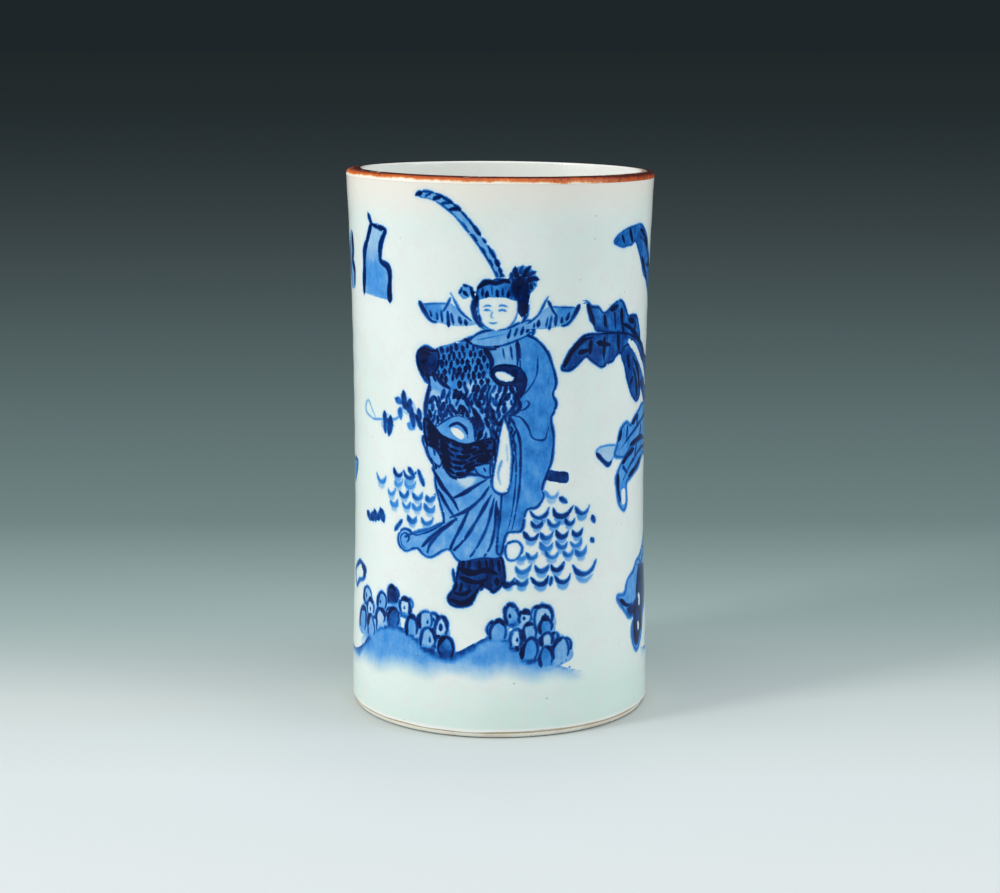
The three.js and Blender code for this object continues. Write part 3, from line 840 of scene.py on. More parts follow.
def figure(b):
    plume(b)
    sheath_end(b)
    boots(b)
    skirt(b)
    cloak(b)
    tunic(b)
    arms(b)
    belt(b)
    collar(b)
    head(b)
    spray(b)


def cup(b, left, right, z, ink):
    """One scallop of water, thick in its middle, with a paler stroke under it."""
    half = (right - left) / 2
    mid = left + half * b.wander(0.85, 1.15)
    deep, tilt = 0.5 + 0.42 * half, b.wander(-0.5, 0.5)
    b.line((left, z + deep + tilt), (mid - 0.6 * half, z - 0.15 * deep + tilt / 2), (mid, z - 0.55 * deep),
           (mid + 0.6 * half, z - 0.15 * deep - tilt / 2), (right, z + deep - tilt), width=b.wander(1.4, 2),
           ink=ink * b.wander(0.8, 1.25), ends=(0.45, 0.4))
    b.line((mid - 0.7 * half, z - 0.75 * deep), (mid, z - 1.4 * deep), (mid + 0.7 * half, z - 0.75 * deep),
           width=1.9, ink=0.42 * ink)


def waves(b, rows, pitch=5.0):
    """Rows of scallops; each row gives its first and last place, its height and its weight."""
    for left, right, z, ink in rows:
        x = left + b.wander(0, 0.5) * pitch
        while x < right:
            wide = pitch * b.wander(0.7, 1.08)
            if b.wander(0, 1) > 0.1:
                cup(b, x, x + wide, z + b.wander(-0.6, 0.6), ink * b.wander(0.7, 1.2))
            x += wide + 0.3


def curl(b, x, z, half, tall, fill=None):
    """One loop of moss: an arch that leans, heavier along one side; some are filled dark."""
    b.stand(x, z, half if b.wander(0, 1) < 0.6 else -half, tall, b.wander(-0.15, 0.15))
    arch = ((-0.8, -0.1), (-0.88, 0.35), (-0.55, 0.78), (0.05, 0.92), (0.62, 0.72), (0.84, 0.3), (0.6, -0.04))
    loop = [(p + b.wander(-0.08, 0.08), q + b.wander(-0.05, 0.05)) for p, q in arch]
    b.shape(*loop, wash=fill or b.wander(0.15, 0.62), steps=3)
    b.line(*loop, width=(1.2, 1.6), ink=(0.85, 1.1), ends=(1, 0.7))
    first = int(b.wander(0, 3.99))
    b.line(*loop[first:first + 3], width=(1.5, 2), ink=(1.15, 1.45), ends=(0.6, 0.5))
    if b.wander(0, 1) < 0.5:
        b.dab(b.wander(-0.35, 0.25), 0.2, b.wander(-0.1, 0.1), b.wander(0.14, 0.34), width=(1, 1.6),
              ink=(0.9, 1.3))
    b.stand()


def moss(b, slope, rows, step=4.6, size=2.4):
    """Loops of moss heaped along a slope."""
    line = flow(slope, 6)
    along = distances(line)
    for row in reversed(range(rows)):
        for s in np.arange(step * (0.3 + 0.5 * (row % 2)) + row * 1.1, along[-1] - row * 1.6, step):
            x, z = np.interp(s, along, line[:, 0]), np.interp(s, along, line[:, 1])
            half = size * b.wander(0.8, 1.2)
            curl(b, x + b.wander(-0.7, 0.7), z - 1 + 4.1 * row + b.wander(-0.9, 0.9), half,
                 half * b.wander(1.9, 2.4), 1.0 if b.wander(0, 1) < 0.08 else None)


def mound(b, ridge, foot, tone=0.5):
    """Washed ground under a ridge, darker along it and dying away towards its foot."""
    top, low = flow(ridge, 6), flow(foot, 4)
    edge = np.vstack([top[:1], low, top[-1:]])
    b.shape(*top, *low[::-1], wash=tone, steps=1, cover=False, melt=(edge, 9))
    deep = 3.2 * np.sqrt(np.sin(np.linspace(0, math.pi, len(top))))
    under = top - np.stack([np.zeros(len(top)), deep], 1)
    b.shape(*top, *under[::-1], wash=tone * 1.9, steps=1, cover=False, melt=(under, 2.2))


def crag(b, left, right, foot, tone=0.36, weight=1.4, ink=1.0):
    """A distant peak: dark sides, a wash that deepens towards the open foot."""
    sides = *flow(left, 3), *flow(right, 3)[::-1]
    b.shape(*sides, wash=tone * 0.7, steps=1)
    b.shape(*sides, wash=tone * 1.35, steps=1, cover=False, melt=(foot, 16))
    b.line(*left, width=weight * 1.15, ink=ink, ends=(0.8, 0.6), steps=3)
    b.line(*right, width=weight, ink=ink, ends=(1, 0.6), steps=3)


def leaf(b, edge, tone=1.0, ribs=(), dark=(), slits=(), rim=1.0):
    """A plantain leaf: ribs and folds are brushed over the wash in its outline, and slits stay white."""
    b.shape(*edge, wash=tone * 0.96, outline=rim, ink=min(tone + 0.18, 1.3), steps=4)
    for rib in ribs:
        b.line(*rib, width=(1.3, 2), ink=min(tone + 0.4, 1.5), ends=(0.8, 0.3))
    for fold in dark:
        b.line(*fold, width=(1.7, 2.4), ink=1.3, ends=(0.6, 0.4))
    for slit in slits:
        bare(b, *slit, width=2.5)


def veins(b, *midrib, reach):
    """The midrib of a leaf with pairs of side veins that slant outwards."""
    b.line(*midrib, width=1.5, ink=1.15, ends=(0.9, 0.4))
    line = flow(midrib, 4)
    along, across = headings(line)
    for k in range(1, len(line) - 1, 2):
        for side in (-1, 1):
            tip = line[k] + along[k] * reach * 0.7 + across[k] * side * reach * b.wander(0.75, 1)
            b.line(line[k], (line[k] * 0.4 + tip * 0.6) + across[k] * side * 0.2 * reach, tip, width=0.9,
                   ink=(0.85, 1.1), ends=(0.9, 0.3))


def plantain(b):
    """A clump of plantain that leans in from the right."""
    leaf(b, [(86, 124), (78, 136), (70, 146), (65.2, 151.5), (63.1, 154.4), (60.4, 157.2), (56.7, 159.6),
             (53.6, 160.5), (50, 160.2), (46.8, 159.8), (43.6, 159), (40.7, 157.6), (39.1, 155.7),
             (41.4, 154.4), (44, 153.8), (46.3, 154.2), (48.9, 154.2), (51.1, 155.1), (53.3, 152.6),
             (56, 148.6), (59.2, 144.1), (63.2, 141.6), (70, 134), (80, 120)], 0.8, rim=0.7,
         ribs=[[(72, 142), (66, 148), (60, 154), (54, 156.6)], [(68, 146), (62, 147)],
               [(43, 157.6), (44.6, 155)]],
         dark=[[(47.3, 159.4), (48, 157.4), (49.4, 155)], [(62.6, 153), (57, 157.8), (54.4, 158.6)],
               [(57, 149.6), (60.4, 145.4), (64.6, 141.8)]])
    leaf(b, [(84, 108), (74, 114), (66, 117), (59.6, 119.5), (57.7, 125.1), (55, 130.5), (51.6, 131.6),
             (48.1, 131.9), (46.6, 134), (44.8, 136.3), (42.9, 137.2), (39.6, 135.9), (35.8, 133.7),
             (33.2, 135.7), (30.5, 136.1), (28.5, 137.8), (29.9, 134.1), (31.7, 129.8), (32.4, 128.5),
             (36, 127.8), (41, 127.2), (50, 124.6), (60, 116), (74, 104)], 0.85,
         ribs=[[(35.8, 133.1), (36.7, 128.9)], [(40.5, 133.7), (41.4, 127.9)],
               [(44, 134.4), (45, 129), (46.4, 124.3)], [(54, 129), (52, 125)]],
         dark=[[(28.8, 137), (29.9, 134.1), (31.7, 130)], [(66, 116.4), (58, 122.4), (50, 127.6),
                 (44, 129.8)], [(48.6, 130.6), (53, 129.4)], [(38.6, 134.4), (42.4, 135.6)]])
    leaf(b, [(84, 96), (76, 104), (70, 112), (62, 119), (56, 123), (49, 125.8), (41, 127), (31.8, 127.5),
             (29.1, 127.4), (26.6, 126.6), (23, 123.2), (20.8, 119.7), (19.7, 117.2), (22.6, 116.7),
             (25.5, 118.3), (28.6, 120.7), (30.3, 119.5), (32.7, 117.8), (35.3, 116.7), (37.9, 117.8),
             (40.3, 118.1), (41.9, 119.7), (44.7, 120.2), (48, 118.6), (52, 113), (60, 108), (70, 98),
             (80, 90)], 0.95,
         ribs=[[(36, 126), (36, 118.6)], [(30.4, 125.6), (30, 121)], [(51, 124), (50, 118)],
               [(26, 122), (30, 122.6)]],
         dark=[[(20.6, 118), (23.4, 122.6), (26.8, 125.6), (31, 126.4)],
               [(42.4, 127.6), (42.8, 124), (43.3, 120.8)], [(72, 106), (60, 116), (52, 121.4)],
               [(33, 124.6), (39, 123.4)]])
    leaf(b, [(78, 98), (70, 106.4), (62, 113), (53, 120.3), (47.6, 122.5), (44.7, 119.7), (46.9, 115.7),
             (48.1, 111.9), (50.6, 107.8), (53.3, 104.7), (56.4, 103.3), (59.9, 105.4), (60.2, 109.2),
             (66, 104), (76, 94)], 0.9,
         ribs=[[(56.6, 104.8), (55.6, 110), (52.4, 115)], [(50.6, 109.4), (53, 112)]],
         dark=[[(59, 107), (57, 113), (52.6, 118)], [(48.6, 119.6), (50, 114.4)]],
         slits=[[(48.5, 124), (53.7, 120.8), (58.9, 116.3), (64.5, 111.2), (70, 106.6)]])
    b.shape((33.3, 89.5), (34.1, 91), (37, 91.4), (40.6, 91.2), (42.8, 90.7), (42.2, 88.6), (40.7, 86.7),
            (38.8, 85.1), (36.3, 86.7), wash=0.25, outline=0.8, ink=0.6)
    b.line((33.4, 89.4), (36.3, 86.7), (38.8, 85.1), (40.6, 86.4), width=1.9, ink=1.2)
    leaf(b, [(90, 92), (84, 98), (74, 103), (66, 101.2), (62.7, 101.4), (59.3, 100.1), (55.1, 98.5),
             (51.7, 96.1), (49.8, 97.2), (48.1, 97.4), (45.1, 95.7), (43.7, 93.2), (43, 90.6), (42, 87.6),
             (45.8, 86.5), (49, 86.5), (51.3, 88.8), (59, 89.8), (65.6, 89.2), (74, 88), (84, 82)], 0.56,
         ribs=[[(76, 97), (64, 96.6), (52, 93), (44.6, 89)], [(58, 98.6), (56.6, 94)],
               [(49.6, 96.4), (48.6, 91.6)], [(62, 95), (60, 91)]],
         dark=[[(51.6, 89.6), (59, 90.8), (66, 90.4)], [(44, 92), (45.6, 95.6)], [(53, 96.4), (58, 98.8)]],
         rim=1.5)
    leaf(b, [(86, 82), (76, 87), (68, 89.4), (60, 90), (54, 89), (49, 87.1), (45.8, 84.8), (43.9, 82.4),
             (42.6, 80), (43.1, 76.6), (44.6, 71.5), (47.4, 68.9), (49.1, 70.8), (49.3, 74.5), (49.2, 77.8),
             (52.9, 79.3), (59.4, 81.5), (66.1, 84.7), (74, 82), (82, 75)], 0.55,
         ribs=[[(74, 86), (62, 87), (52, 83.4), (46.4, 78.6)], [(57, 89), (55, 84.6)],
               [(46.6, 83.4), (49.8, 80.6)]], rim=1.5,
         dark=[[(46.4, 84.4), (50.4, 86.8), (55, 88)], [(43.8, 81.4), (44, 76.6), (45.4, 72)],
               [(50.6, 79.6), (57, 82), (63, 84.6)]],
         slits=[[(46.9, 76.2), (47.3, 73.6), (47.4, 70.9)]])
    leaf(b, [(80, 62), (71, 58), (64, 53.4), (60, 51), (56.9, 50.5), (54.2, 47.8), (50.2, 46.1),
             (48.6, 44.3), (47.7, 41.9), (46, 41.5), (43.4, 41.9), (43.1, 40.6), (45.2, 38), (47.8, 35.2),
             (50, 33.3), (53, 33), (53.4, 32.1), (51.9, 29.9), (51.7, 27), (52.6, 23.8), (55, 21.1),
             (57.5, 21.4), (60.2, 23.7), (62.1, 27.7), (64.4, 31.6), (67.4, 33.4), (70.6, 36.4), (71.4, 40),
             (70, 43), (73.6, 47), (77.4, 54)], 0.5, rim=1.6)
    b.shape((59.4, 48.6), (57.8, 45.9), (56.5, 42.5), (55.7, 39), (53.6, 37.2), (51, 37.1), (48.6, 36.2),
            (50.2, 33.8), (53.4, 33.4), (52.6, 29.6), (53, 25), (55.4, 22.4), (58, 23.4), (60.6, 27.4),
            (63.4, 32.6), (67, 35.2), (69.4, 39), (68, 42.6), (70, 46), (66, 47.4), (62, 48.4), wash=1.2)
    veins(b, (78, 58), (70, 53), (63.6, 49.6), (59.6, 47), reach=3.2)
    for fold in (((44.6, 40.2), (48.4, 37.6), (51, 37.4)), ((58.8, 47), (57.4, 43), (56.2, 39.6)),
                 ((53.6, 34), (56.6, 35.4), (57.4, 38)), ((61.4, 46), (62.4, 40.6), (61.6, 36)),
                 ((54, 31), (54.4, 26.6), (56.4, 23.4)), ((60.6, 33), (60.4, 29), (59, 25.4))):
        b.line(*fold, width=(1.7, 2.3), ink=1.45)
    bare(b, (58, 39.4), (59.3, 37.4), (59, 34.8), width=1.7)
    bare(b, (57.2, 30.2), (57.6, 28.6), (57.4, 27), width=1.6)
    veins(b, (84, 120), (77, 134), (70, 142.5), (64, 149.6), reach=2.6)
    veins(b, (80, 92), (72, 102), (64, 110), reach=3)
    veins(b, (86, 90), (76, 96), (66, 96.4), reach=4)
    veins(b, (82, 79), (74, 84.6), (66, 86.6), reach=2.4)
    for x, low, high, wide in ((89, 21.6, 108, 3), (76.4, 20, 64, 2.2), (82, 19.6, 128, 3.6)):
        b.shape((x - wide * 1.25, low), (x - wide * 0.8, low + 12), (x - wide * 0.5, high),
                (x + wide * 0.5, high), (x + wide * 0.75, low + 12), (x + wide * 1.25, low), wash=0.45,
                outline=1.1, ink=1.1, steps=1)
        b.shape((x + wide * 0.2, low), (x + wide * 0.1, high), (x + wide * 0.5, high),
                (x + wide * 0.75, low + 12), (x + wide * 1.2, low), wash=0.8, cover=False, steps=1)
        for k in range(int((high - low) / 7)):
            z = low + 3 + 7 * k + b.wander(-1, 1)
            b.line((x - wide * 0.75, z), (x, z - 1.4), (x + wide * 0.7, z + 0.6), width=(0.8, 1.3),
                   ink=(0.85, 1.2))
            b.line((x - wide * 0.3, z - 1), (x - wide * 0.36, z - 4), width=0.7, ink=0.7)


def front(b):
    crag(b, [(-52.2, 138.2), (-51.6, 145.4), (-50.9, 151.2), (-48.9, 154.7), (-45.9, 160.4)],
         [(-37.6, 137.1), (-37.7, 141), (-37.3, 145), (-38.3, 147.7), (-41.4, 149), (-41.7, 151),
          (-41.3, 154), (-40.1, 156.5), (-38.9, 158.8), (-42.4, 159.6), (-45.6, 160.2)],
         [(-58, 163), (-34, 161)], weight=2.2, ink=1.3)
    b.line((-45.6, 160), (-47.6, 163.6), width=2.0, ink=1.2)
    b.shape((-66.2, 156.1), (-61.5, 156.5), (-61, 151), (-62.4, 147.4), (-59.8, 143.6), (-61, 139),
            (-67.9, 139), (-70, 146.7), wash=0.4)
    b.line((-62.4, 156), (-62.2, 150.6), (-63.6, 147.4), (-61.2, 144.2), (-61.6, 139.6), width=3.2, ink=1.3)
    b.line((-67, 153), (-68.4, 147.4), (-66.6, 141), width=2.6)
    b.shape((-68.6, 81.8), (-62.7, 82.5), (-63.2, 80.2), (-64.6, 78.1), (-67.6, 75), wash=0.55, outline=1.4,
            ink=0.95)
    # shade heaped in the dips of the bank
    b.shape((-30, 32), (-24, 29), (-18.5, 27.3), (-13, 28), (-7.4, 31), (-8, 26.6), (-14, 23.8),
            (-21, 23.8), (-28.6, 27.4), wash=0.85, cover=False, melt=([(-31, 30.6), (-28, 26), (-21, 22.6),
                    (-14, 22.4), (-6, 27)], 3.4))
    b.shape((-90, 25), (-82, 22.6), (-74.6, 20.6), (-66, 19.4), (-59.4, 20.8), (-54.4, 23.6), (-50.6, 27),
            (-49.6, 24), (-58, 17.8), (-70, 16.8), (-82, 20), (-89, 24), wash=0.85, cover=False,
            melt=([(-94, 25), (-82, 19.4), (-70, 16), (-58, 16.6), (-48, 24)], 3.4))
    mound(b, [(-76, 20.4), (-66, 19.4), (-59.4, 20.8), (-54.4, 23.6), (-49.9, 27.3), (-44.3, 30.8),
              (-38.2, 33.4), (-34.5, 33.5), (-30.3, 32.2), (-26.4, 30.2), (-22.7, 28.4), (-18.5, 27.3),
              (-15.2, 27.3), (-11.9, 28.5), (-8.7, 30.3), (-5.3, 32.5), (-1.6, 33.6), (1.6, 32.8),
              (4.7, 30.5), (8.4, 27.7), (12.6, 25.4), (17.5, 23.5), (24, 21.2), (28, 20.2)],
          [(-74, 13.6), (-64, 13.2), (-54, 15.6), (-44, 14.8), (-34, 17.6), (-24, 16.4), (-15, 19),
           (-6, 17.2), (2, 18.6), (10, 16.2), (17, 17.2), (24.4, 15.6), (30, 17.6)])
    for x, z, wide, tall, tone in ((-48, 24, 9, 3.4, 0.3), (-36, 27, 7, 3, 0.28), (-30, 22.6, 8, 2.2, 0.26),
            (-2, 26.6, 8, 3.4, 0.3), (8, 21.6, 9, 2.2, 0.26), (-12, 21, 7, 1.8, 0.24)):
        b.shape((x - wide, z - 0.4), (x - 0.3 * wide, z + tall), (x + 0.6 * wide, z + 0.7 * tall),
                (x + wide, z), (x + 0.2 * wide, z - tall), wash=tone * 1.6, cover=False,
                melt=([(x - wide, z - tall), (x + wide, z - 1.2 * tall)], 3 * tall))
    # loops of moss behind the ridge: place, half-width and height
    for heap in (((-51.8, 38.4, 3.2, 4.8), (-42.9, 38.2, 2.7, 5.2), (-37.4, 40.8, 2.6, 5.4, 1.1),
                  (-32.1, 38.5, 2.5, 4.9), (-49.5, 34.6, 2.6, 5), (-43.3, 33.3, 2.8, 4.6),
                  (-37.2, 34.2, 2.8, 5, 0.9), (-29.1, 32.2, 2.4, 5.9), (-23.9, 34.9, 2.8, 5.4),
                  (-18.6, 33.2, 2.4, 5.9), (-55.6, 28.6, 3.1, 7.2), (-48.8, 28, 2.6, 6.8),
                  (-23.3, 28.9, 3, 6.3), (-17.2, 26.8, 2.8, 6.2, 0.9)),
                 ((4.1, 38.4, 2.5, 5.6), (8.1, 38, 2.2, 3.4), (13.6, 36.8, 3.5, 6.6), (9.7, 33, 2.4, 4.9),
                  (14.9, 34.6, 2.3, 4.4), (-0.3, 32.8, 2.9, 6), (5, 30.6, 2.2, 5.4), (15.2, 30.6, 2.4, 3.6),
                  (19.9, 25.8, 3.2, 6.6), (9.4, 26.4, 2.8, 6.8), (14.8, 24, 2.4, 6.2))):
        for x, z, half, tall, *_ in heap:
            b.shape((x - 1.35 * half, z), (x, z + 1.12 * tall), (x + 1.35 * half, z), (x, z - 2.4),
                    wash=0.36, cover=False, steps=4)
            curl(b, x + b.wander(-1, 1) * half, z + 0.3 * tall, 0.66 * half, 0.62 * tall)
        for x, z, half, tall, *_ in heap[::3]:
            b.shape((x - half, z - 0.6), (x, z + 1.4), (x + half, z - 0.6), (x, z - 2.4), wash=0.95,
                    cover=False, steps=4)
        for loop in heap:
            curl(b, *loop)
    for x, z in ((19.9, 23.4), (22.6, 22), (21.4, 24.6)):
        b.dab(x, z, 0.1, 0.3, width=1.1, ink=0.9)
    b.shape((-65.6, 45.4), (-61.3, 48.7), (-58.2, 49.7), (-53.9, 48.1), (-55.3, 44.9), (-59.8, 43.3),
            (-63.3, 40.8), outline=1.8, ink=0.9)
    b.line((-57.4, 49), (-54.6, 47.6), (-55.8, 45), width=2.2, ink=1.25)
    # rows of water either side of the figure: height, weight and the ends of each scallop
    for z, ink, cups in ((77.6, 0.55, ((14.4, 19),)), (71.7, 1.05, ((9.6, 15.9), (17.2, 24.3), (25, 30.5))),
            (68.6, 0.85, ((10, 13.8), (15.4, 19.9), (21.4, 24.9))),
            (64.8, 1, ((7.6, 12.4), (13, 17.4), (18.2, 22.6), (24, 27.9))),
            (61.4, 0.8, ((12.9, 17.3), (18.2, 22.2), (23.2, 27.4))),
            (58.6, 0.75, ((4.7, 8.4), (8.5, 12), (14.4, 19.2), (20.6, 24.3), (24.9, 29.3))),
            (54.4, 0.95, ((5.1, 10.3), (11.2, 15.9), (16.5, 21))), (52.6, 0.95, ((24, 33.2),)),
            (50.4, 1, ((1.4, 4.9), (5, 9), (9.9, 15.5), (17.6, 23.2))),
            (82.6, 0.95, ((-37, -33), (-32.8, -27.6))), (79.6, 0.55,
                    ((-36.6, -33.1), (-32.4, -27.8), (-46.2, -41))),
            (76.2, 0.7, ((-34.7, -30.9), (-29.2, -25.4), (-23.9, -20.6), (-40, -36.3))),
            (72.8, 0.6, ((-33.4, -30.1), (-29.3, -25.8), (-24.7, -21), (-39, -35.4))),
            (68.6, 0.75, ((-31.3, -27.7), (-25.8, -21.4)))):
        for left, right in cups:
            cup(b, left, right, z, ink)
    for x0, z0, x1, z1 in ((-26.9, 84.6, -24.9, 80), (-30.6, 84.9, -28.6, 82.6), (-33.7, 67.8, -36.8, 64.2),
            (-52.7, 67.3, -50, 65.4), (-47.6, 68.5, -47, 65.6), (-44, 69.6, -42.4, 66.2),
            (-49.8, 65.8, -47.4, 67.8), (-46, 66.4, -43.6, 68.8), (31.6, 69.6, 32.6, 67.4),
            (31.2, 62.4, 32.2, 61.2), (19.6, 76.6, 22, 75), (16.7, 51.6, 16.2, 49)):
        b.line((x0, z0), (x1, z1), width=3.0 if x0 < -42 else 1.8, ink=0.95, ends=(0.8, 0.6))
    plantain(b)
    figure(b)


def garden_rock(b, x, z):
    """A pierced garden rock."""
    b.stand(x, z)
    b.shape((-13, 0), (-15, 8), (-11, 15), (-14, 23), (-10, 31), (-4, 34), (-5, 42), (1, 47), (8, 44),
            (9, 36), (14, 30), (11, 22), (16, 15), (12, 7), (14, 0), wash=0.5, outline=1.5)
    for loop, tone in ((((-9, 3), (-10, 9), (-6, 14), (-3, 8), (-4, 2)), 0.95),
            (((1, 30), (0, 38), (4, 42), (6, 35)), 0.9), (((5, 4), (4, 12), (9, 18), (11, 10), (9, 3)),
                    0.85)):
        b.shape(*loop, wash=tone, cover=False)
    for cx, cz, rx, rz in ((-2, 20, 4.2, 5.4), (7.4, 25, 2.6, 3.6), (0.6, 6.4, 2.8, 3.4), (-9.2, 26, 2, 2.8)):
        b.shape((cx - rx, cz), (cx - 0.6 * rx, cz + 0.8 * rz), (cx + 0.2 * rx, cz + rz),
                (cx + rx, cz + 0.2 * rz), (cx + 0.5 * rx, cz - 0.9 * rz), (cx - 0.5 * rx, cz - 0.8 * rz),
                outline=1.3)
    for x0, z0, x1, z1, x2, z2 in ((-11, 16, -7, 18, -5, 14), (10, 20, 6, 18, 4, 14),
            (-3, 33, 0, 30, 4, 31), (-12, 5, -10, 12, -6, 16), (12, 12, 10, 20, 8, 21)):
        b.line((x0, z0), (x1, z1), (x2, z2), width=1.2, ink=0.95)
    b.stand()


def bamboo(b, x, z, tall, lean):
    """A cane with its joints and tufts of pointed leaves."""
    def at(t, side=0.0):
        return x + side + lean * t ** 2, z + tall * t

    steps = int(tall / 12)
    for k in range(steps):
        t0, t1 = k / steps, (k + 0.93) / steps
        for side in (-0.9, 0.9):
            b.line(at(t0, side), at(t1, side), width=0.7, ink=0.95, ends=(1, 1))
        b.shape(at(t0, -0.9), at(t1, -0.9), at(t1, 0.9), at(t0, 0.9), wash=0.5, steps=1, cover=False)
    for k in range(steps // 2, steps + 1):
        px, pz = at(k / steps)
        for side in (-1, 1):
            ox, oz = px + side * b.wander(2, 8), pz + b.wander(-3, 3)
            b.line((px, pz - 2), (ox, oz), width=0.5, ink=0.8)
            for _ in range(4):
                turn, long = b.wander(-2.5, -0.6), b.wander(4.6, 7.4)
                dx, dz = math.cos(turn) * long, math.sin(turn) * long
                b.line((ox, oz), (ox + dx * 0.45, oz + dz * 0.4), (ox + dx, oz + dz), width=1.9,
                       ink=(0.7, 1.1), ends=(0.4, 0.1))


def cliff(b):
    """A cliff that hangs in from above, cut in steps, with moss on its ledges."""
    side = flow([(-77, 178), (-79, 163), (-74.6, 156), (-77.6, 148), (-73.6, 141), (-78, 134), (-75.6, 126),
                 (-82, 121), (-80, 112), (-85.6, 106), (-84, 98), (-90, 92), (-90, 84), (-95.6, 78)], 2)
    other = flow([(-97.4, 80), (-99.4, 88), (-104, 93), (-102.4, 101), (-108, 107), (-107, 117),
                  (-113, 122), (-111, 132), (-117, 139), (-115, 150), (-120.6, 158), (-119, 178)], 2)
    b.shape(*side, *other, wash=0.34, steps=1, melt=([(-122, 176), (-72, 176)], 14))
    for line in (side, other):
        b.line(*line, width=1.6, ink=1.05, ends=(0.4, 0.8), steps=1)
    for k, (x, z, dx, dz) in enumerate(((-80, 160, -3, -9), (-81, 146, -4, -8), (-79, 132, -5, -6),
            (-84, 119, -4, -8), (-88, 104, -4, -7), (-92, 90, -3, -6), (-101, 92, 2, 7), (-104, 106, 2, 8),
            (-109, 120, 3, 9), (-112, 136, 3, 8), (-115, 152, 3, 9), (-97, 158, -2, -12),
            (-94, 138, -4, -10), (-99, 126, 2, -10), (-95, 112, -2, -8), (-105, 146, 1, -10),
            (-88, 150, 2, -10))):
        grow = 0.7 + 0.7 * abs(math.sin(2.4 * k))
        dx, dz = dx * (1.6 - 0.5 * grow), dz * grow
        b.shape((x, z), (x + dx * 0.4, z + dz * 0.6), (x + dx, z + dz), (x + dx * 1.7, z + dz * 0.7),
                (x + dx * 1.5, z + dz * 0.15), wash=0.5, cover=False, steps=3)
        b.line((x, z), (x + dx * 0.3, z + dz * 0.5), (x + dx, z + dz), width=1.8, ink=1.15, ends=(0.9, 0.2),
               steps=3)
        for j in range(2 + k % 3):
            s, drop = 0.5 + 0.42 * j, 0.34 + 0.14 * ((j + k) % 3)
            b.line((x + dx * s, z + dz * 0.1 * j), (x + dx * (s + 0.1), z + dz * drop * 0.6),
                   (x + dx * (s + 0.35), z + dz * drop), width=1.1, ink=0.9, ends=(0.9, 0.2))
    for x, z in ((-77, 141), (-78.6, 126), (-83, 111), (-88, 96), (-106.6, 95), (-110.4, 109),
                 (-115.6, 125), (-119, 142), (-98, 79)):
        for k in range(6):
            b.dab(x + b.wander(-3.4, 3.4), z + b.wander(-2, 2.4), 0.1, 0.9, width=1.9, ink=1.05)
    # a pine bough leaning out
    b.line((-114, 133), (-120, 137), (-127, 136), (-134, 140), (-141, 138.6), width=2.4, ink=1.05,
           ends=(1, 0.3))
    b.line((-124, 136.4), (-128, 142), (-133, 145), width=1.4, ink=0.95)
    for x, z in ((-120, 141), (-128, 139.4), (-133, 146), (-137, 142), (-143, 139), (-129, 132),
                 (-138, 134.6)):
        b.shape((x - 5, z + 0.4), (x, z + 4.6), (x + 5, z + 0.4), (x, z - 0.8), wash=0.4, cover=False)
        for k in range(11):
            turn = math.pi * (0.05 + 0.09 * k)
            b.line((x, z), (x + 5.4 * math.cos(turn), z + 4.8 * math.sin(turn)), width=0.85, ink=0.95,
                   ends=(0.9, 0.3))


def back(b):
    mound(b, [(58, 21), (68, 19.4), (80, 20), (90, 22.4), (100, 26), (110, 27.4), (120, 24.4), (130, 21)],
          [(60, 15), (95, 15), (128, 14)])
    mound(b, [(122, 20), (132, 24.6), (142, 30.4), (152, 31.4), (162, 27), (172, 22.6), (182, 20.6)],
          [(124, 14), (152, 18), (180, 15)])
    mound(b, [(174, 20), (186, 26), (196, 31), (206, 30), (216, 25), (227, 21.4)],
          [(176, 15), (200, 18), (226, 16)])
    bamboo(b, 97, 26, 96, -5)
    bamboo(b, 123, 26, 118, 6)
    bamboo(b, 129, 24, 84, 9)
    garden_rock(b, 110, 27)
    moss(b, [(134, 27), (141, 31), (149, 32.6), (157, 30.4), (164, 27)], 3)
    moss(b, [(188, 28), (195, 31.6), (203, 32), (210, 29)], 3)
    moss(b, [(91, 23.4), (97, 26), (103, 27.4)], 1)
    moss(b, [(69, 19.4), (80, 20), (92, 23.4)], 2, 4.4, 2.1)
    moss(b, [(117, 26.4), (123, 24.4), (129, 21.6)], 2)
    crag(b, [(146, 116), (147, 124), (151, 131), (153, 138), (156.4, 141.6)],
         [(167, 113), (165, 121), (162, 125), (162.6, 132), (159, 138), (156.6, 142)],
         [(140, 146), (172, 146)])
    crag(b, [(164, 108), (166, 115), (169, 120), (171.8, 122)], [(182, 106), (179, 112), (175.6, 115),
            (174.6, 120), (172, 122.2)], [(160, 126), (186, 126)], 0.3, 1.1)
    waves(b, [(142, 170, 98, 0.6), (138, 178, 94.2, 0.75), (143, 184, 90.2, 0.95), (139, 182, 86.2, 0.8),
              (146, 188, 82.2, 0.9), (142, 184, 78.2, 0.7), (150, 178, 74.2, 0.6)])
    waves(b, [(142, 170, 60, 0.6), (138, 176, 56, 0.85), (144, 172, 52, 0.8), (148, 168, 48, 0.6)])
    cliff(b)
    waves(b, [(-108, -84, 62, 0.6), (-112, -78, 58, 0.8), (-106, -74, 54, 0.95), (-110, -80, 50, 0.8),
              (-100, -84, 46, 0.6)])


# The finishes: places and distances in millimetres, noise as frequencies to the millimetre

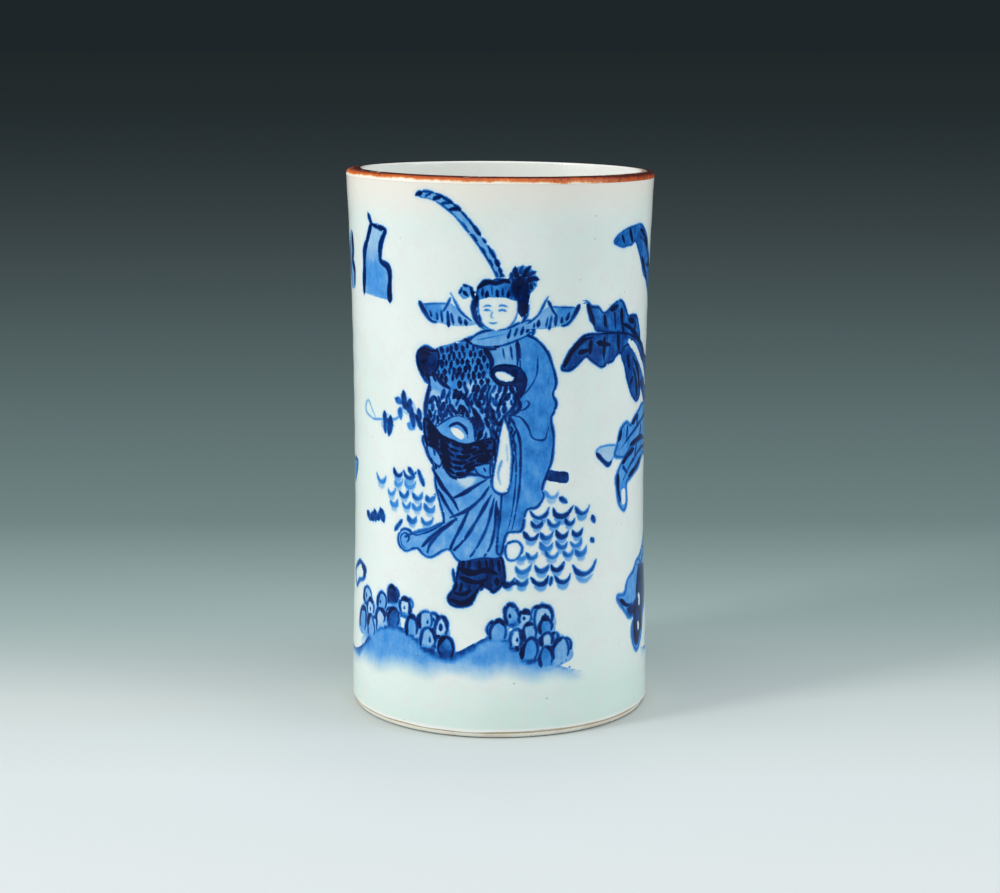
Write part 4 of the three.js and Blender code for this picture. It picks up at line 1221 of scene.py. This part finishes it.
class Nodes:
    """Adds nodes to a tree, each fed by plain values or by other nodes' sockets."""

    def __init__(self, tree):
        self.tree = tree

    def add(self, kind, inputs=(), **settings):
        node = self.tree.nodes.new("ShaderNode" + kind)
        for name, value in settings.items():
            setattr(node, name, value)
        for key, value in (inputs.items() if isinstance(inputs, dict) else enumerate(inputs)):
            if isinstance(value, bpy.types.NodeSocket):
                self.tree.links.new(value, node.inputs[key])
            elif value is not None:
                node.inputs[key].default_value = value
        return node

    def math(self, operation, *values, clamp=False):
        return self.add("Math", values, operation=operation, use_clamp=clamp).outputs[0]

    def plus(self, *values, clamp=False):
        return self.math("ADD", *values, clamp=clamp)

    def less(self, *values):
        return self.math("SUBTRACT", *values)

    def times(self, *values):
        return self.math("MULTIPLY", *values)

    def most(self, *values):
        return self.math("MAXIMUM", *values)

    def parts(self, vector):
        return self.add("SeparateXYZ", (vector,)).outputs

    def radius(self, x, y):
        return self.math("SQRT", self.plus(self.times(x, x), self.times(y, y)))

    def stored(self, name):
        """A vector that the mesh carries at its points or corners."""
        return self.add("Attribute", attribute_name=name).outputs["Vector"]

    def scaled(self, vector, by):
        return self.add("VectorMath", (vector, by), operation="MULTIPLY").outputs[0]

    def noise(self, vector, scale, detail=2.0, rough=0.5):
        """Noise between about 0 and 1."""
        return self.add("TexNoise", {"Vector": vector, "Scale": scale, "Detail": detail,
                                     "Roughness": rough}).outputs[0]

    def swing(self, *noise):
        """Noise about nought."""
        return self.less(self.noise(*noise), 0.5)

    def ease(self, value, low, high, start=0.0, stop=1.0):
        """Eases from start to stop as the value goes from low to high."""
        return self.add("MapRange", {"Value": value, "From Min": low, "From Max": high, "To Min": start,
                                     "To Max": stop},
                        interpolation_type="SMOOTHSTEP").outputs[0]

    def mix(self, share, first, second, blend="MIX"):
        node = self.add("Mix", data_type="RGBA", blend_type=blend)
        for index, value in ((0, share), (6, first), (7, second)):
            if isinstance(value, bpy.types.NodeSocket):
                self.tree.links.new(value, node.inputs[index])
            elif index:
                node.inputs[index].default_value = (*value, 1)
            else:
                node.inputs[index].default_value = value
        return node.outputs[2]

    def ramp(self, value, *stops):
        """Colours along a value; each is a code, or a colour from the settings."""
        node = self.add("ValToRGB", (value,))
        ramp = node.color_ramp
        for place, _ in stops[1:-1]:
            ramp.elements.new(place)
        for element, (place, tone) in zip(ramp.elements, stops):
            element.position = place
            element.color = (*(hue(tone) if isinstance(tone, str) else tone), 1)
        return node.outputs[0]


def group(name, inputs, outputs):
    """An empty shader node group with its named sockets."""
    tree = bpy.data.node_groups.new(name, "ShaderNodeTree")
    kinds = {"value": "NodeSocketFloat", "vector": "NodeSocketVector", "colour": "NodeSocketColor"}
    for label, kind in inputs.items():
        tree.interface.new_socket(label, in_out="INPUT", socket_type=kinds[kind])
    for label, kind in outputs.items():
        tree.interface.new_socket(label, in_out="OUTPUT", socket_type=kinds[kind])
    start = tree.nodes.new("NodeGroupInput")
    return tree, Nodes(tree), start.outputs, tree.nodes.new("NodeGroupOutput").inputs


def placed(n, build, **inputs):
    """A shared group, built the first time that a finish asks for it."""
    tree = bpy.data.node_groups.get(build.__name__) or build(build.__name__)
    return n.add("Group", inputs, node_tree=tree).outputs


def iron_specks(name):
    """Small dark specks where iron in the clay burned through."""
    tree, n, start, end = group(name, {"Place": "vector", "Spacing": "value", "Size": "value"},
                                {"Mask": "value"})
    scale = n.math("DIVIDE", 1.0, start["Spacing"])
    spots = n.add("TexVoronoi", {"Vector": start["Place"], "Scale": scale})
    size = n.times(start["Size"], scale)
    pick = n.add("SeparateColor", (spots.outputs["Color"],)).outputs[0]
    size = n.times(size, n.ease(pick, 0.45, 1.0))
    near = n.less(size, spots.outputs["Distance"])
    tree.links.new(n.math("DIVIDE", near, n.plus(size, 0.001), clamp=True), end["Mask"])
    return tree


def glaze_body(name):
    """How a felspathic glaze lies over white clay: cloudy depth, pinholes and a faint ripple."""
    tree, n, start, end = group(name, {"Place": "vector", "Glaze": "colour", "Pooled": "colour",
                                       "Pooling": "value"},
                                {"Color": "colour", "Roughness": "value", "Height": "value"})
    place = start["Place"]
    cloud = n.noise(place, 0.035, 3.0)
    fine = n.noise(place, 1.1, 3.0, 0.7)
    drift = n.plus(start["Pooling"], n.ease(cloud, 0.35, 0.7, 0.0, 0.45))
    drift = n.plus(drift, n.ease(fine, 0.2, 0.8, -0.1, 0.1), clamp=True)
    body = n.mix(drift, start["Glaze"], start["Pooled"])
    blush = n.times(n.noise(place, 0.7, 3.0, 0.7), n.noise(place, 0.16, 2.0))
    body = n.mix(n.ease(blush, 0.2, 0.38, 0.0, 0.3), body, hue("e4d9d6"))
    spot = placed(n, iron_specks, Place=place, Spacing=5.0, Size=0.45)
    body = n.mix(n.times(spot[0], 0.8), body, hue("6d5640"))
    pin = placed(n, iron_specks, Place=place, Spacing=3.1, Size=0.17)
    body = n.mix(n.times(pin[0], 0.35), body, hue("8d9a92"))
    tree.links.new(body, end["Color"])
    tree.links.new(n.ease(fine, 0.2, 0.8, 0.10, 0.19), end["Roughness"])
    ripple = n.times(n.noise(place, 0.22, 2.0), 0.35)
    ripple = n.plus(ripple, n.times(fine, 0.03))
    tree.links.new(n.less(ripple, n.times(pin[0], 0.08)), end["Height"])
    return tree


def brush_mark(name):
    """How much cobalt a stroke leaves: full inside its edge, ragged along it, heaped in its middle."""
    tree, n, start, end = group(name, {"Mark": "vector", "Ragged": "value"}, {"Cobalt": "value"})
    part = n.parts(start["Mark"])
    gap = n.less(n.math("ABSOLUTE", part[0]), part[1])
    gap = n.plus(gap, start["Ragged"])
    body = n.ease(gap, 0.34, -0.40)
    heaped = n.ease(gap, -0.1, -0.7, 0.84, 1.12)
    tree.links.new(n.times(n.times(body, heaped), part[2]), end["Cobalt"])
    return tree


def material(name):
    """A new material: its nodes, its shader and places on the pot in millimetres."""
    made = bpy.data.materials.new(name)
    made.use_nodes = True
    n = Nodes(made.node_tree)
    shader = made.node_tree.nodes["Principled BSDF"]
    place = n.scaled(n.add("TexCoord").outputs["Object"], (1 / MM,) * 3)
    return made, n, shader, place


def join(n, shader, **sockets):
    """Links what changes over the surface to the shader's sockets."""
    for name, value in sockets.items():
        n.tree.links.new(value, shader.inputs[name.replace("_", " ")])


def bump(n, height, strength=1.0, depth=MM):
    return n.add("Bump", {"Strength": strength, "Distance": depth, "Height": height}).outputs[0]


HEAVIEST = 1.6      # load of cobalt that fires almost black


def glaze_over_clay(n, finish, place, pooling):
    """The clear glaze with this pot's colours, and how far it pools."""
    glaze, pooled = (*finish.glaze, 1), (*finish.pooled_glaze, 1)
    return placed(n, glaze_body, Place=place, Glaze=glaze, Pooled=pooled, Pooling=pooling)


def painted_glaze(finish):
    """Clear glaze over the cobalt painting."""
    made, n, shader, place = material("painted_glaze")
    # pooled towards the foot, warm and thin under the lip, and white where it was wiped off the bevel
    z = n.parts(place)[2]
    foot = n.ease(z, 26, 3, 0.0, 0.8)
    body = glaze_over_clay(n, finish, place, foot)
    base = n.mix(n.ease(z, 160, 173.5, 0.0, 0.8), body["Color"], tuple(finish.thin_glaze))
    base = n.mix(n.ease(z, 3.6, 2.6, 0.0, 0.8), base, hue("efece7"))
    ragged = n.swing(place, 0.9, 3.0, 0.6)
    edge = n.plus(n.times(ragged, 0.55), n.times(n.swing(place, 2.6, 2.0), 0.25))
    strokes = None
    for name in MARKS:
        mark = n.stored(name)
        one = placed(n, brush_mark, Mark=mark, Ragged=edge)[0]
        strokes = one if strokes is None else n.most(strokes, one)
    # a wash is streaked and cloudy, and pools dark along the inside of its edge
    wash = n.parts(n.stored("wash"))
    wash_gap = n.plus(wash[0], n.times(ragged, 0.5))
    inside = n.ease(wash_gap, 0.22, -0.22)
    pooled = n.times(n.ease(wash_gap, -0.9, -0.1), 0.07)
    streak = n.swing(n.scaled(place, (1.0, 1.0, 0.28)), 0.62, 3.0, 0.65)
    uneven = n.plus(n.times(streak, 0.6), n.times(n.swing(place, 0.19, 2.0), 0.9))
    load = n.times(wash[1], n.plus(n.plus(1.0, uneven), pooled))
    wash_load = n.times(load, inside)
    halo = n.ease(n.plus(wash[2], n.times(ragged, 1.2)), BLEED - 0.5, -0.2, 0.0, 0.05)
    halo = n.times(halo, n.less(1.0, inside))
    # cobalt heaps and piles: near-black points where the ore was coarse
    heap = n.ease(n.noise(place, 0.75, 4.0, 0.75), 0.55, 0.72)
    amount = n.most(strokes, n.plus(n.times(wash_load, 0.5), n.times(strokes, 0.92)))
    total = n.most(wash_load, amount)
    total = n.plus(total, n.times(n.times(heap, 0.22), n.ease(total, 0.55, 0.95)))
    total = n.plus(total, halo)
    grain = n.plus(n.times(n.swing(place, 3.4, 2.0), 0.28), n.times(ragged, 0.3))
    total = n.times(total, n.plus(1.0, grain))
    tint = n.ramp(n.math("DIVIDE", total, HEAVIEST), (0.0, "ffffff"), (0.06, "dcecfb"), (0.16, "aad0f8"),
                  (0.27, "69acf3"), (0.37, "3e94ec"), (0.47, "2274cd"), (0.57, finish.cobalt),
                  (0.68, "04327c"), (0.81, "021f5e"), (1.0, "01103a"))
    painted = n.mix(1.0, base, tint, "MULTIPLY")
    join(n, shader, Base_Color=painted, Roughness=body["Roughness"], Normal=bump(n, body["Height"], 0.35))
    shader.inputs["IOR"].default_value = 1.5
    shader.inputs["Specular IOR Level"].default_value = 0.12
    return made


def plain_glaze(finish):
    """Clear glaze inside the pot, pooled in the corner round the floor."""
    made, n, shader, place = material("inside_glaze")
    z = n.parts(place)[2]
    pooling = n.plus(n.ease(z, 40, 9, 0.0, 0.55), n.ease(z, 110, 168, 0.0, -0.2))
    body = glaze_over_clay(n, finish, place, pooling)
    dust = n.noise(place, 0.11, 4.0, 0.6)
    settled = n.times(n.ease(z, 22, 8.2), n.ease(dust, 0.4, 0.75, 0.0, 0.35))
    # partly a whiter glaze and partly painted light: the inside is whitened towards its top, where it is lit
    tone = n.mix(n.ease(z, 120, 165, 0.0, 0.8), body["Color"], hue("f0f0e9"))
    tone = n.mix(settled, tone, hue("b9ad98"))
    rough = n.plus(body["Roughness"], n.times(settled, 0.8))
    join(n, shader, Base_Color=tone, Roughness=rough, Normal=bump(n, body["Height"], 0.45))
    return made


def iron_dressing(finish):
    """Iron-brown dressing on the lip: dark on the crest, orange below, worn through in places."""
    made, n, shader, place = material("iron_dressing")
    # nought at the band's lower edge and one past the crest
    run = n.parts(n.stored("lip_run"))[0]
    broad = n.noise(place, 0.09, 3.0, 0.6)
    fine = n.noise(place, 0.55, 4.0, 0.7)
    wobble = n.plus(n.times(n.less(broad, 0.5), 1.6), n.times(n.less(fine, 0.5), 0.9))
    side = n.parts(place)[0]
    drawn = n.plus(n.ease(side, -34, 34, -0.11, 0.02), n.ease(side, 24, 44, 0.0, 0.18))
    across = n.plus(n.plus(run, drawn), n.times(wobble, 0.28))
    # partly thin dressing and partly a painted highlight: the band's lower edge is cream along the lip's
    # rounding
    tone = n.ramp(across, (0.0, "faf1e2"), (0.025, "f8e6ce"), (0.055, "f2c09a"), (0.09, "e08a48"),
                  (0.14, finish.orange), (0.29, "c4561e"), (0.38, "a8431a"), (0.46, "802a12"),
                  (0.53, "561c10"), (0.72, "4c1616"), (0.90, "571f18"), (1.0, "b49a86"))
    tone = n.mix(n.ease(n.plus(broad, n.times(fine, 0.25)), 0.72, 0.84), tone, hue("f0dcc4"))
    streaks = n.noise(n.scaled(place, (1.0, 1.0, 0.25)), 0.8, 3.0, 0.7)
    streaked = n.times(n.ease(streaks, 0.5, 0.66, 0.0, 0.75), n.ease(across, 0.12, 0.26))
    tone = n.mix(streaked, tone, tuple(finish.dark_brown))
    rough = n.ease(fine, 0.3, 0.7, 0.34, 0.55)
    height = n.plus(n.times(fine, 0.12), n.times(broad, 0.3))
    join(n, shader, Base_Color=tone, Roughness=rough, Normal=bump(n, height, 0.5))
    return made


def bare_clay(finish):
    """Unglazed porcelain: turning lines, an iron flush by the glaze, grit from the kiln and painted contact
    shade at the ground.
    """
    made, n, shader, place = material("bare_clay")
    x, y, z = n.parts(place)
    radius = n.radius(x, y)
    rings = n.noise(n.add("CombineXYZ", (n.times(radius, 2.4), n.times(z, 2.4), 0.0)).outputs[0], 1.0, 3.0,
                    0.7)
    patch = n.noise(place, 0.07, 3.0, 0.6)
    fine = n.noise(place, 1.6, 3.0, 0.7)
    # the bevel from the ground up: painted contact shade, cream, a taupe ring, then the pink of thin glaze
    height = n.plus(z, n.times(n.less(fine, 0.5), 0.5))
    # the ramp's two darkest stops, at the ground, are painted contact shade
    bevel = n.ramp(n.math("DIVIDE", height, 2.5), (0.0, "46524f"), (0.10, "6a7674"), (0.2, "ecece4"),
                   (0.4, "f6f1e2"), (0.62, "f6f1e2"), (0.7, "b8a88e"), (0.82, "b4a288"), (0.94, "f4efe8"))
    tone = n.mix(n.ease(radius, 45.5, 46.5), tuple(finish.clay), bevel)
    flush = n.times(n.ease(patch, 0.5, 0.66, 0.0, 0.22), n.ease(radius, 44, 47))
    tone = n.mix(flush, tone, tuple(finish.toasted_clay))
    tone = n.mix(n.ease(rings, 0.4, 0.75, 0.0, 0.16), tone, hue("a3917a"))
    grit = placed(n, iron_specks, Place=place, Spacing=2.6, Size=0.28)
    tone = n.mix(n.times(grit[0], 0.7), tone, hue("4d3a2a"))
    # painted contact shade: the lowest half millimetre of the bevel is darkened, patchily
    painted_contact_shade = n.times(n.ease(z, 0.5, 0.0), n.ease(fine, 0.35, 0.65, 0.2, 0.55))
    tone = n.mix(painted_contact_shade, tone, hue("6f7a78"))
    relief = n.plus(n.times(rings, 0.25), n.times(fine, 0.12))
    join(n, shader, Base_Color=tone, Roughness=n.ease(fine, 0.2, 0.8, 0.6, 0.85), Normal=bump(n, relief, 0.6))
    return made


# What the operators build

PAINTED_SKIN = 0.1      # mm inside the finished line that still count as the painted side
PAINTED_LIP = 2.0       # and inside the mouth's widest ring, above the wall
HIDDEN_STRIP = 0.05     # share of the bake map that the coat's hidden side takes


def paint_wall(piece):
    """Lays the painting on the outside of the coat, before the hand of the potter bends it."""
    mesh = piece.data
    section = Section(bpy.context.scene.pot_form)
    r, turn, z = vertex_places(mesh)
    count = len(mesh.polygons)
    loops = np.empty(len(mesh.loops), int)
    mesh.loops.foreach_get("vertex_index", loops)
    loops = loops.reshape(count, 4)
    outside = r > section.outside(z) - PAINTED_SKIN
    over_lip = z > section.lip_base
    outside[over_lip] = r[over_lip] > section.mouth - PAINTED_LIP
    face = outside[loops].all(1)
    first = turn[loops[:, :1]]
    turns = first + (turn[loops] - first + np.pi) % (2 * np.pi) - np.pi
    middle = turns.mean(1, keepdims=True)
    turns -= np.round(middle / (2 * np.pi)) * 2 * np.pi
    corners = np.stack([turns * UNROLL, z[loops]], 2)
    wall = Wall(corners[face].mean(1), corners[face], np.stack([turn * UNROLL, z], 1)[outside])
    brush = Brush(wall, SEED)
    front(brush)
    back(brush)
    for k, name in enumerate(MARKS):
        marks = np.zeros((count, 4, 3))
        marks[..., 0] = FAR
        marks[face] = wall.marks[k]
        store(mesh, name, "CORNER", marks)
    wash = np.zeros((len(r), 3))
    wash[:, 0] = wash[:, 2] = FAR
    wash[outside] = np.stack([wall.wash, wall.tone, wall.bleed], 1)
    store(mesh, "wash", "POINT", wash)
    # the map for baking the materials: the painted side fills it, the hidden side takes a strip
    up = (z[loops] - BEVEL_HEIGHT) / (section.height - BEVEL_HEIGHT)
    v = np.where(face[:, None], HIDDEN_STRIP + (1 - HIDDEN_STRIP) * up, 0.002 + 0.04 * up)
    u = turns / (2 * np.pi) + 0.5
    places = np.stack([np.clip(u, 0, 1), v], 2)
    mesh.uv_layers.new(name="OFBake").data.foreach_set("uv", places.ravel())


def dressed(piece, made, node):
    """Gives a piece its finish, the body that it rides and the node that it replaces."""
    piece.data.materials.append(made)
    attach(piece, "root")
    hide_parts(node)


class BRUSHPOT_OT_clay(bpy.types.Operator):
    """Throw the wall, seat the floor slab in its rebate and press the coil into the corner"""

    bl_idname = "brushpot.clay"
    bl_label = "Clay body"

    def execute(self, context):
        form = context.scene.pot_form
        section = Section(form)
        clay = bare_clay(context.scene.pot_finish)
        throat = section.clay[section.wall_end, 0]
        seat_top = section.disc_top + SEAT_FIT
        line = section.clay
        wall = np.vstack([
            [(section.resting - FOOT_ROUNDING, 0), (section.resting, FOOT_EASE),
             (section.clay_foot, BEVEL_HEIGHT)],
            line[1:section.wall_end + 1:2],
            [(throat, seat_top), (section.seat, seat_top), (section.seat, FOOT_EASE),
             (section.seat + FOOT_ROUNDING, 0)]])
        rim = section.seat - SEAT_FIT
        slab = [*((r, BASE_RECESS) for r in (0, *SLAB_RINGS, rim - SLAB_EDGE)),
                (rim, BASE_RECESS + SLAB_EDGE),
                (rim, section.disc_top - DISC_CHAMFER), (rim - DISC_CHAMFER, section.disc_top),
                (0, section.disc_top)]
        start = section.wall_end + 1
        face = line[start:start + COIL_STATIONS]
        throat -= SEAM_FIT
        coil = np.vstack([[(throat, face[0][1])], face, [(face[-1][0], seat_top), (throat, seat_top)]])
        # the slab's outline starts and ends on the axis, so it stays open there
        pieces = (("thrown_wall", wall, True, "wall"), ("floor_slab", slab, False, "floor_disc"),
                  ("corner_coil", coil, True, "luting_coil"))
        for name, outline, closed, node in pieces:
            piece = turned(name, outline, TURNS, closed)
            hand_thrown(piece, form)
            dressed(piece, clay, node)
        return {"FINISHED"}


class BRUSHPOT_OT_outside(bpy.types.Operator):
    """Dip the outside in clear glaze over its cobalt painting"""

    bl_idname = "brushpot.outside"
    bl_label = "Painted outside"

    def execute(self, context):
        form = context.scene.pot_form
        section = Section(form)
        over, under = section.coat_outline(0, section.crest_along - BAND_OUTSIDE - SEAM_FIT / 2, 16)
        piece = turned("painted_coat", np.vstack([over, under]), TURNS_FINE)
        paint_wall(piece)
        hand_thrown(piece, form, foot_line=True)
        dressed(piece, painted_glaze(context.scene.pot_finish), "outer_glaze")
        return {"FINISHED"}


class BRUSHPOT_OT_inside(bpy.types.Operator):
    """Pour the clear glaze down the inside and over the floor"""

    bl_idname = "brushpot.inside"
    bl_label = "Glazed inside"

    def execute(self, context):
        form = context.scene.pot_form
        section = Section(form)
        over, under = section.coat_outline(section.crest_along + BAND_INSIDE + SEAM_FIT / 2,
                                           section.along[-1], 6)
        # the outline starts and ends at the lip, where the coat's thin edge is left open
        piece = turned("inside_coat", np.vstack([over, under])[::-1], TURNS, closed=False)
        hand_thrown(piece, form)
        dressed(piece, plain_glaze(context.scene.pot_finish), "inner_glaze")
        return {"FINISHED"}


class BRUSHPOT_OT_lip(bpy.types.Operator):
    """Brush the iron-brown dressing round the lip"""

    bl_idname = "brushpot.lip"
    bl_label = "Iron-brown lip"

    def execute(self, context):
        form = context.scene.pot_form
        section = Section(form)
        start = section.crest_along - BAND_OUTSIDE + SEAM_FIT / 2
        stop = section.crest_along + BAND_INSIDE - SEAM_FIT / 2
        over, under = section.coat_outline(start, stop)
        piece = turned("brown_lip", np.vstack([over, under]), TURNS_FINE)
        r, _, z = vertex_places(piece.data)
        steps = distances(over)
        gap = np.hypot(r[:, None] - over[:, 0], z[:, None] - over[:, 1])
        run = np.zeros((len(r), 3))
        run[:, 0] = steps[gap.argmin(1)] / steps[-1]
        store(piece.data, "lip_run", "POINT", run)
        hand_thrown(piece, form)
        dressed(piece, iron_dressing(context.scene.pot_finish), "rim_dressing")
        return {"FINISHED"}


# The stage, in metres and watts

AMBIENT = 0.56                              # strength of the light from all round
EYE = (0.0002, -0.6979, 0.2133)             # where the photograph was taken from
PITCH_DOWN = 10.44                          # degrees that the camera looks down
LENS, SENSOR = 77.44, 36.0                  # mm
FAR_CLIP = 400.0
FLOOR_RADIUS = 180.0
# name, place, what it is aimed at, width and height, power, tint
LIGHTS = (
    ("key_softbox", (-1.45, -0.85, 0.95), (0, 0, 0.06), (0.34, 0.34), 12.2),
    ("side_softbox", (-1.6, -0.5, 0.7), (0, 0, 0.09), (1.1, 1.2), 8.2),
    ("fill_softbox", (1.6, -0.6, 0.7), (0, 0, 0.09), (1.0, 1.2), 12.6, "eef4fa"),
    ("top_softbox", (0.1, -0.1, 1.7), (0, 0, 0), (1.2, 1.2), 7.5),
)


def softbox(name, place, aim, size, power, tint="ffffff"):
    """A rectangular lamp that faces what it is aimed at."""
    light = bpy.data.lights.new(name, "AREA")
    light.shape, light.size, light.size_y = "RECTANGLE", size[0], size[1]
    light.energy, light.color = power, hue(tint)
    lamp = put(name, light)
    lamp.location = place
    lamp.rotation_euler = (Vector(aim) - Vector(place)).to_track_quat("-Z", "Y").to_euler()


def studio_world():
    """Soft light from all round, while the camera sees a dark wall in the distance."""
    world = bpy.data.worlds.new("studio")
    bpy.context.scene.world = world
    world.use_nodes = True
    n = Nodes(world.node_tree)
    paths = n.add("LightPath").outputs
    seen = n.most(paths["Is Camera Ray"], paths["Is Transmission Ray"])
    seen = n.most(seen, paths["Is Glossy Ray"])
    backdrop = n.add("Background", ((*hue("1f2629"), 1), 1.0))
    ambient = n.add("Background", ((*hue("f2f6fa"), 1), AMBIENT))
    mixed = n.add("MixShader", (seen, ambient.outputs[0], backdrop.outputs[0]))
    n.tree.links.new(mixed.outputs[0], world.node_tree.nodes["World Output"].inputs[0])


def floor_material(finish):
    """Pale paper that falls away into shade behind the pot and far from it."""
    made, n, shader, place = material("studio_floor")
    x, y, _ = n.parts(place)
    radius = n.radius(x, y)
    # mm past a line in front of the pot, or outside a ring round it
    away = n.most(n.most(n.plus(y, 160.0), n.less(radius, 700.0)), 0.0)
    fall = n.math("DIVIDE", away, n.plus(away, 350.0))
    tone = n.ramp(fall, (0.0, finish.floor), (0.173, "d5dbda"), (0.304, "c8d0cd"), (0.422, "9dafac"),
                  (0.552, "6f8280"), (0.732, "596969"), (0.881, "454f51"), (0.947, "364042"), (1.0, "303838"))
    join(n, shader, Base_Color=tone)
    shader.inputs["Roughness"].default_value = 0.9
    shader.inputs["Specular IOR Level"].default_value = 0.0
    return made


class BRUSHPOT_OT_stage(bpy.types.Operator):
    """Lay the studio floor, hang the soft lights and set the camera"""

    bl_idname = "brushpot.stage"
    bl_label = "Studio stage"

    def execute(self, context):
        scene = context.scene
        scene.view_settings.view_transform = "Standard"
        shape = bmesh.new()
        bmesh.ops.create_circle(shape, cap_ends=True, segments=96, radius=FLOOR_RADIUS)
        mesh = bpy.data.meshes.new("studio_floor")
        shape.to_mesh(mesh)
        shape.free()
        floor = put("studio_floor", mesh)
        mesh.materials.append(floor_material(scene.pot_finish))
        studio_world()
        for light in LIGHTS:
            softbox(*light)
        camera = bpy.data.cameras.new("camera")
        camera.sensor_width, camera.lens, camera.clip_end = SENSOR, LENS, FAR_CLIP
        eye = put("camera", camera)
        eye.location = EYE
        eye.rotation_euler = (math.radians(90 - PITCH_DOWN), 0, 0)
        scene.camera = eye
        return {"FINISHED"}


class BRUSHPOT_PT_panel(bpy.types.Panel):
    """Builds the brush pot piece by piece"""

    bl_idname = "BRUSHPOT_PT_panel"
    bl_label = "Brush pot"
    bl_space_type = "VIEW_3D"
    bl_region_type = "UI"
    bl_category = "Brush pot"

    def draw(self, context):
        layout = self.layout
        for step in STEPS:
            layout.operator(step.bl_idname)
        for settings in (context.scene.pot_form, context.scene.pot_finish):
            box = layout.box()
            for name in settings.__annotations__:
                box.prop(settings, name)


STEPS = (BRUSHPOT_OT_stage, BRUSHPOT_OT_clay, BRUSHPOT_OT_outside, BRUSHPOT_OT_inside, BRUSHPOT_OT_lip)
CLASSES = (PotForm, PotFinish, *STEPS, BRUSHPOT_PT_panel)


def register():
    for each in CLASSES:
        bpy.utils.register_class(each)
    bpy.types.Scene.pot_form = bpy.props.PointerProperty(type=PotForm)
    bpy.types.Scene.pot_finish = bpy.props.PointerProperty(type=PotFinish)


def unregister():
    del bpy.types.Scene.pot_form
    del bpy.types.Scene.pot_finish
    for each in reversed(CLASSES):
        bpy.utils.unregister_class(each)


def main():
    register()
    bpy.ops.brushpot.stage()
    bpy.ops.brushpot.clay()
    bpy.ops.brushpot.outside()
    bpy.ops.brushpot.inside()
    bpy.ops.brushpot.lip()


if __name__ == "__main__":
    main()
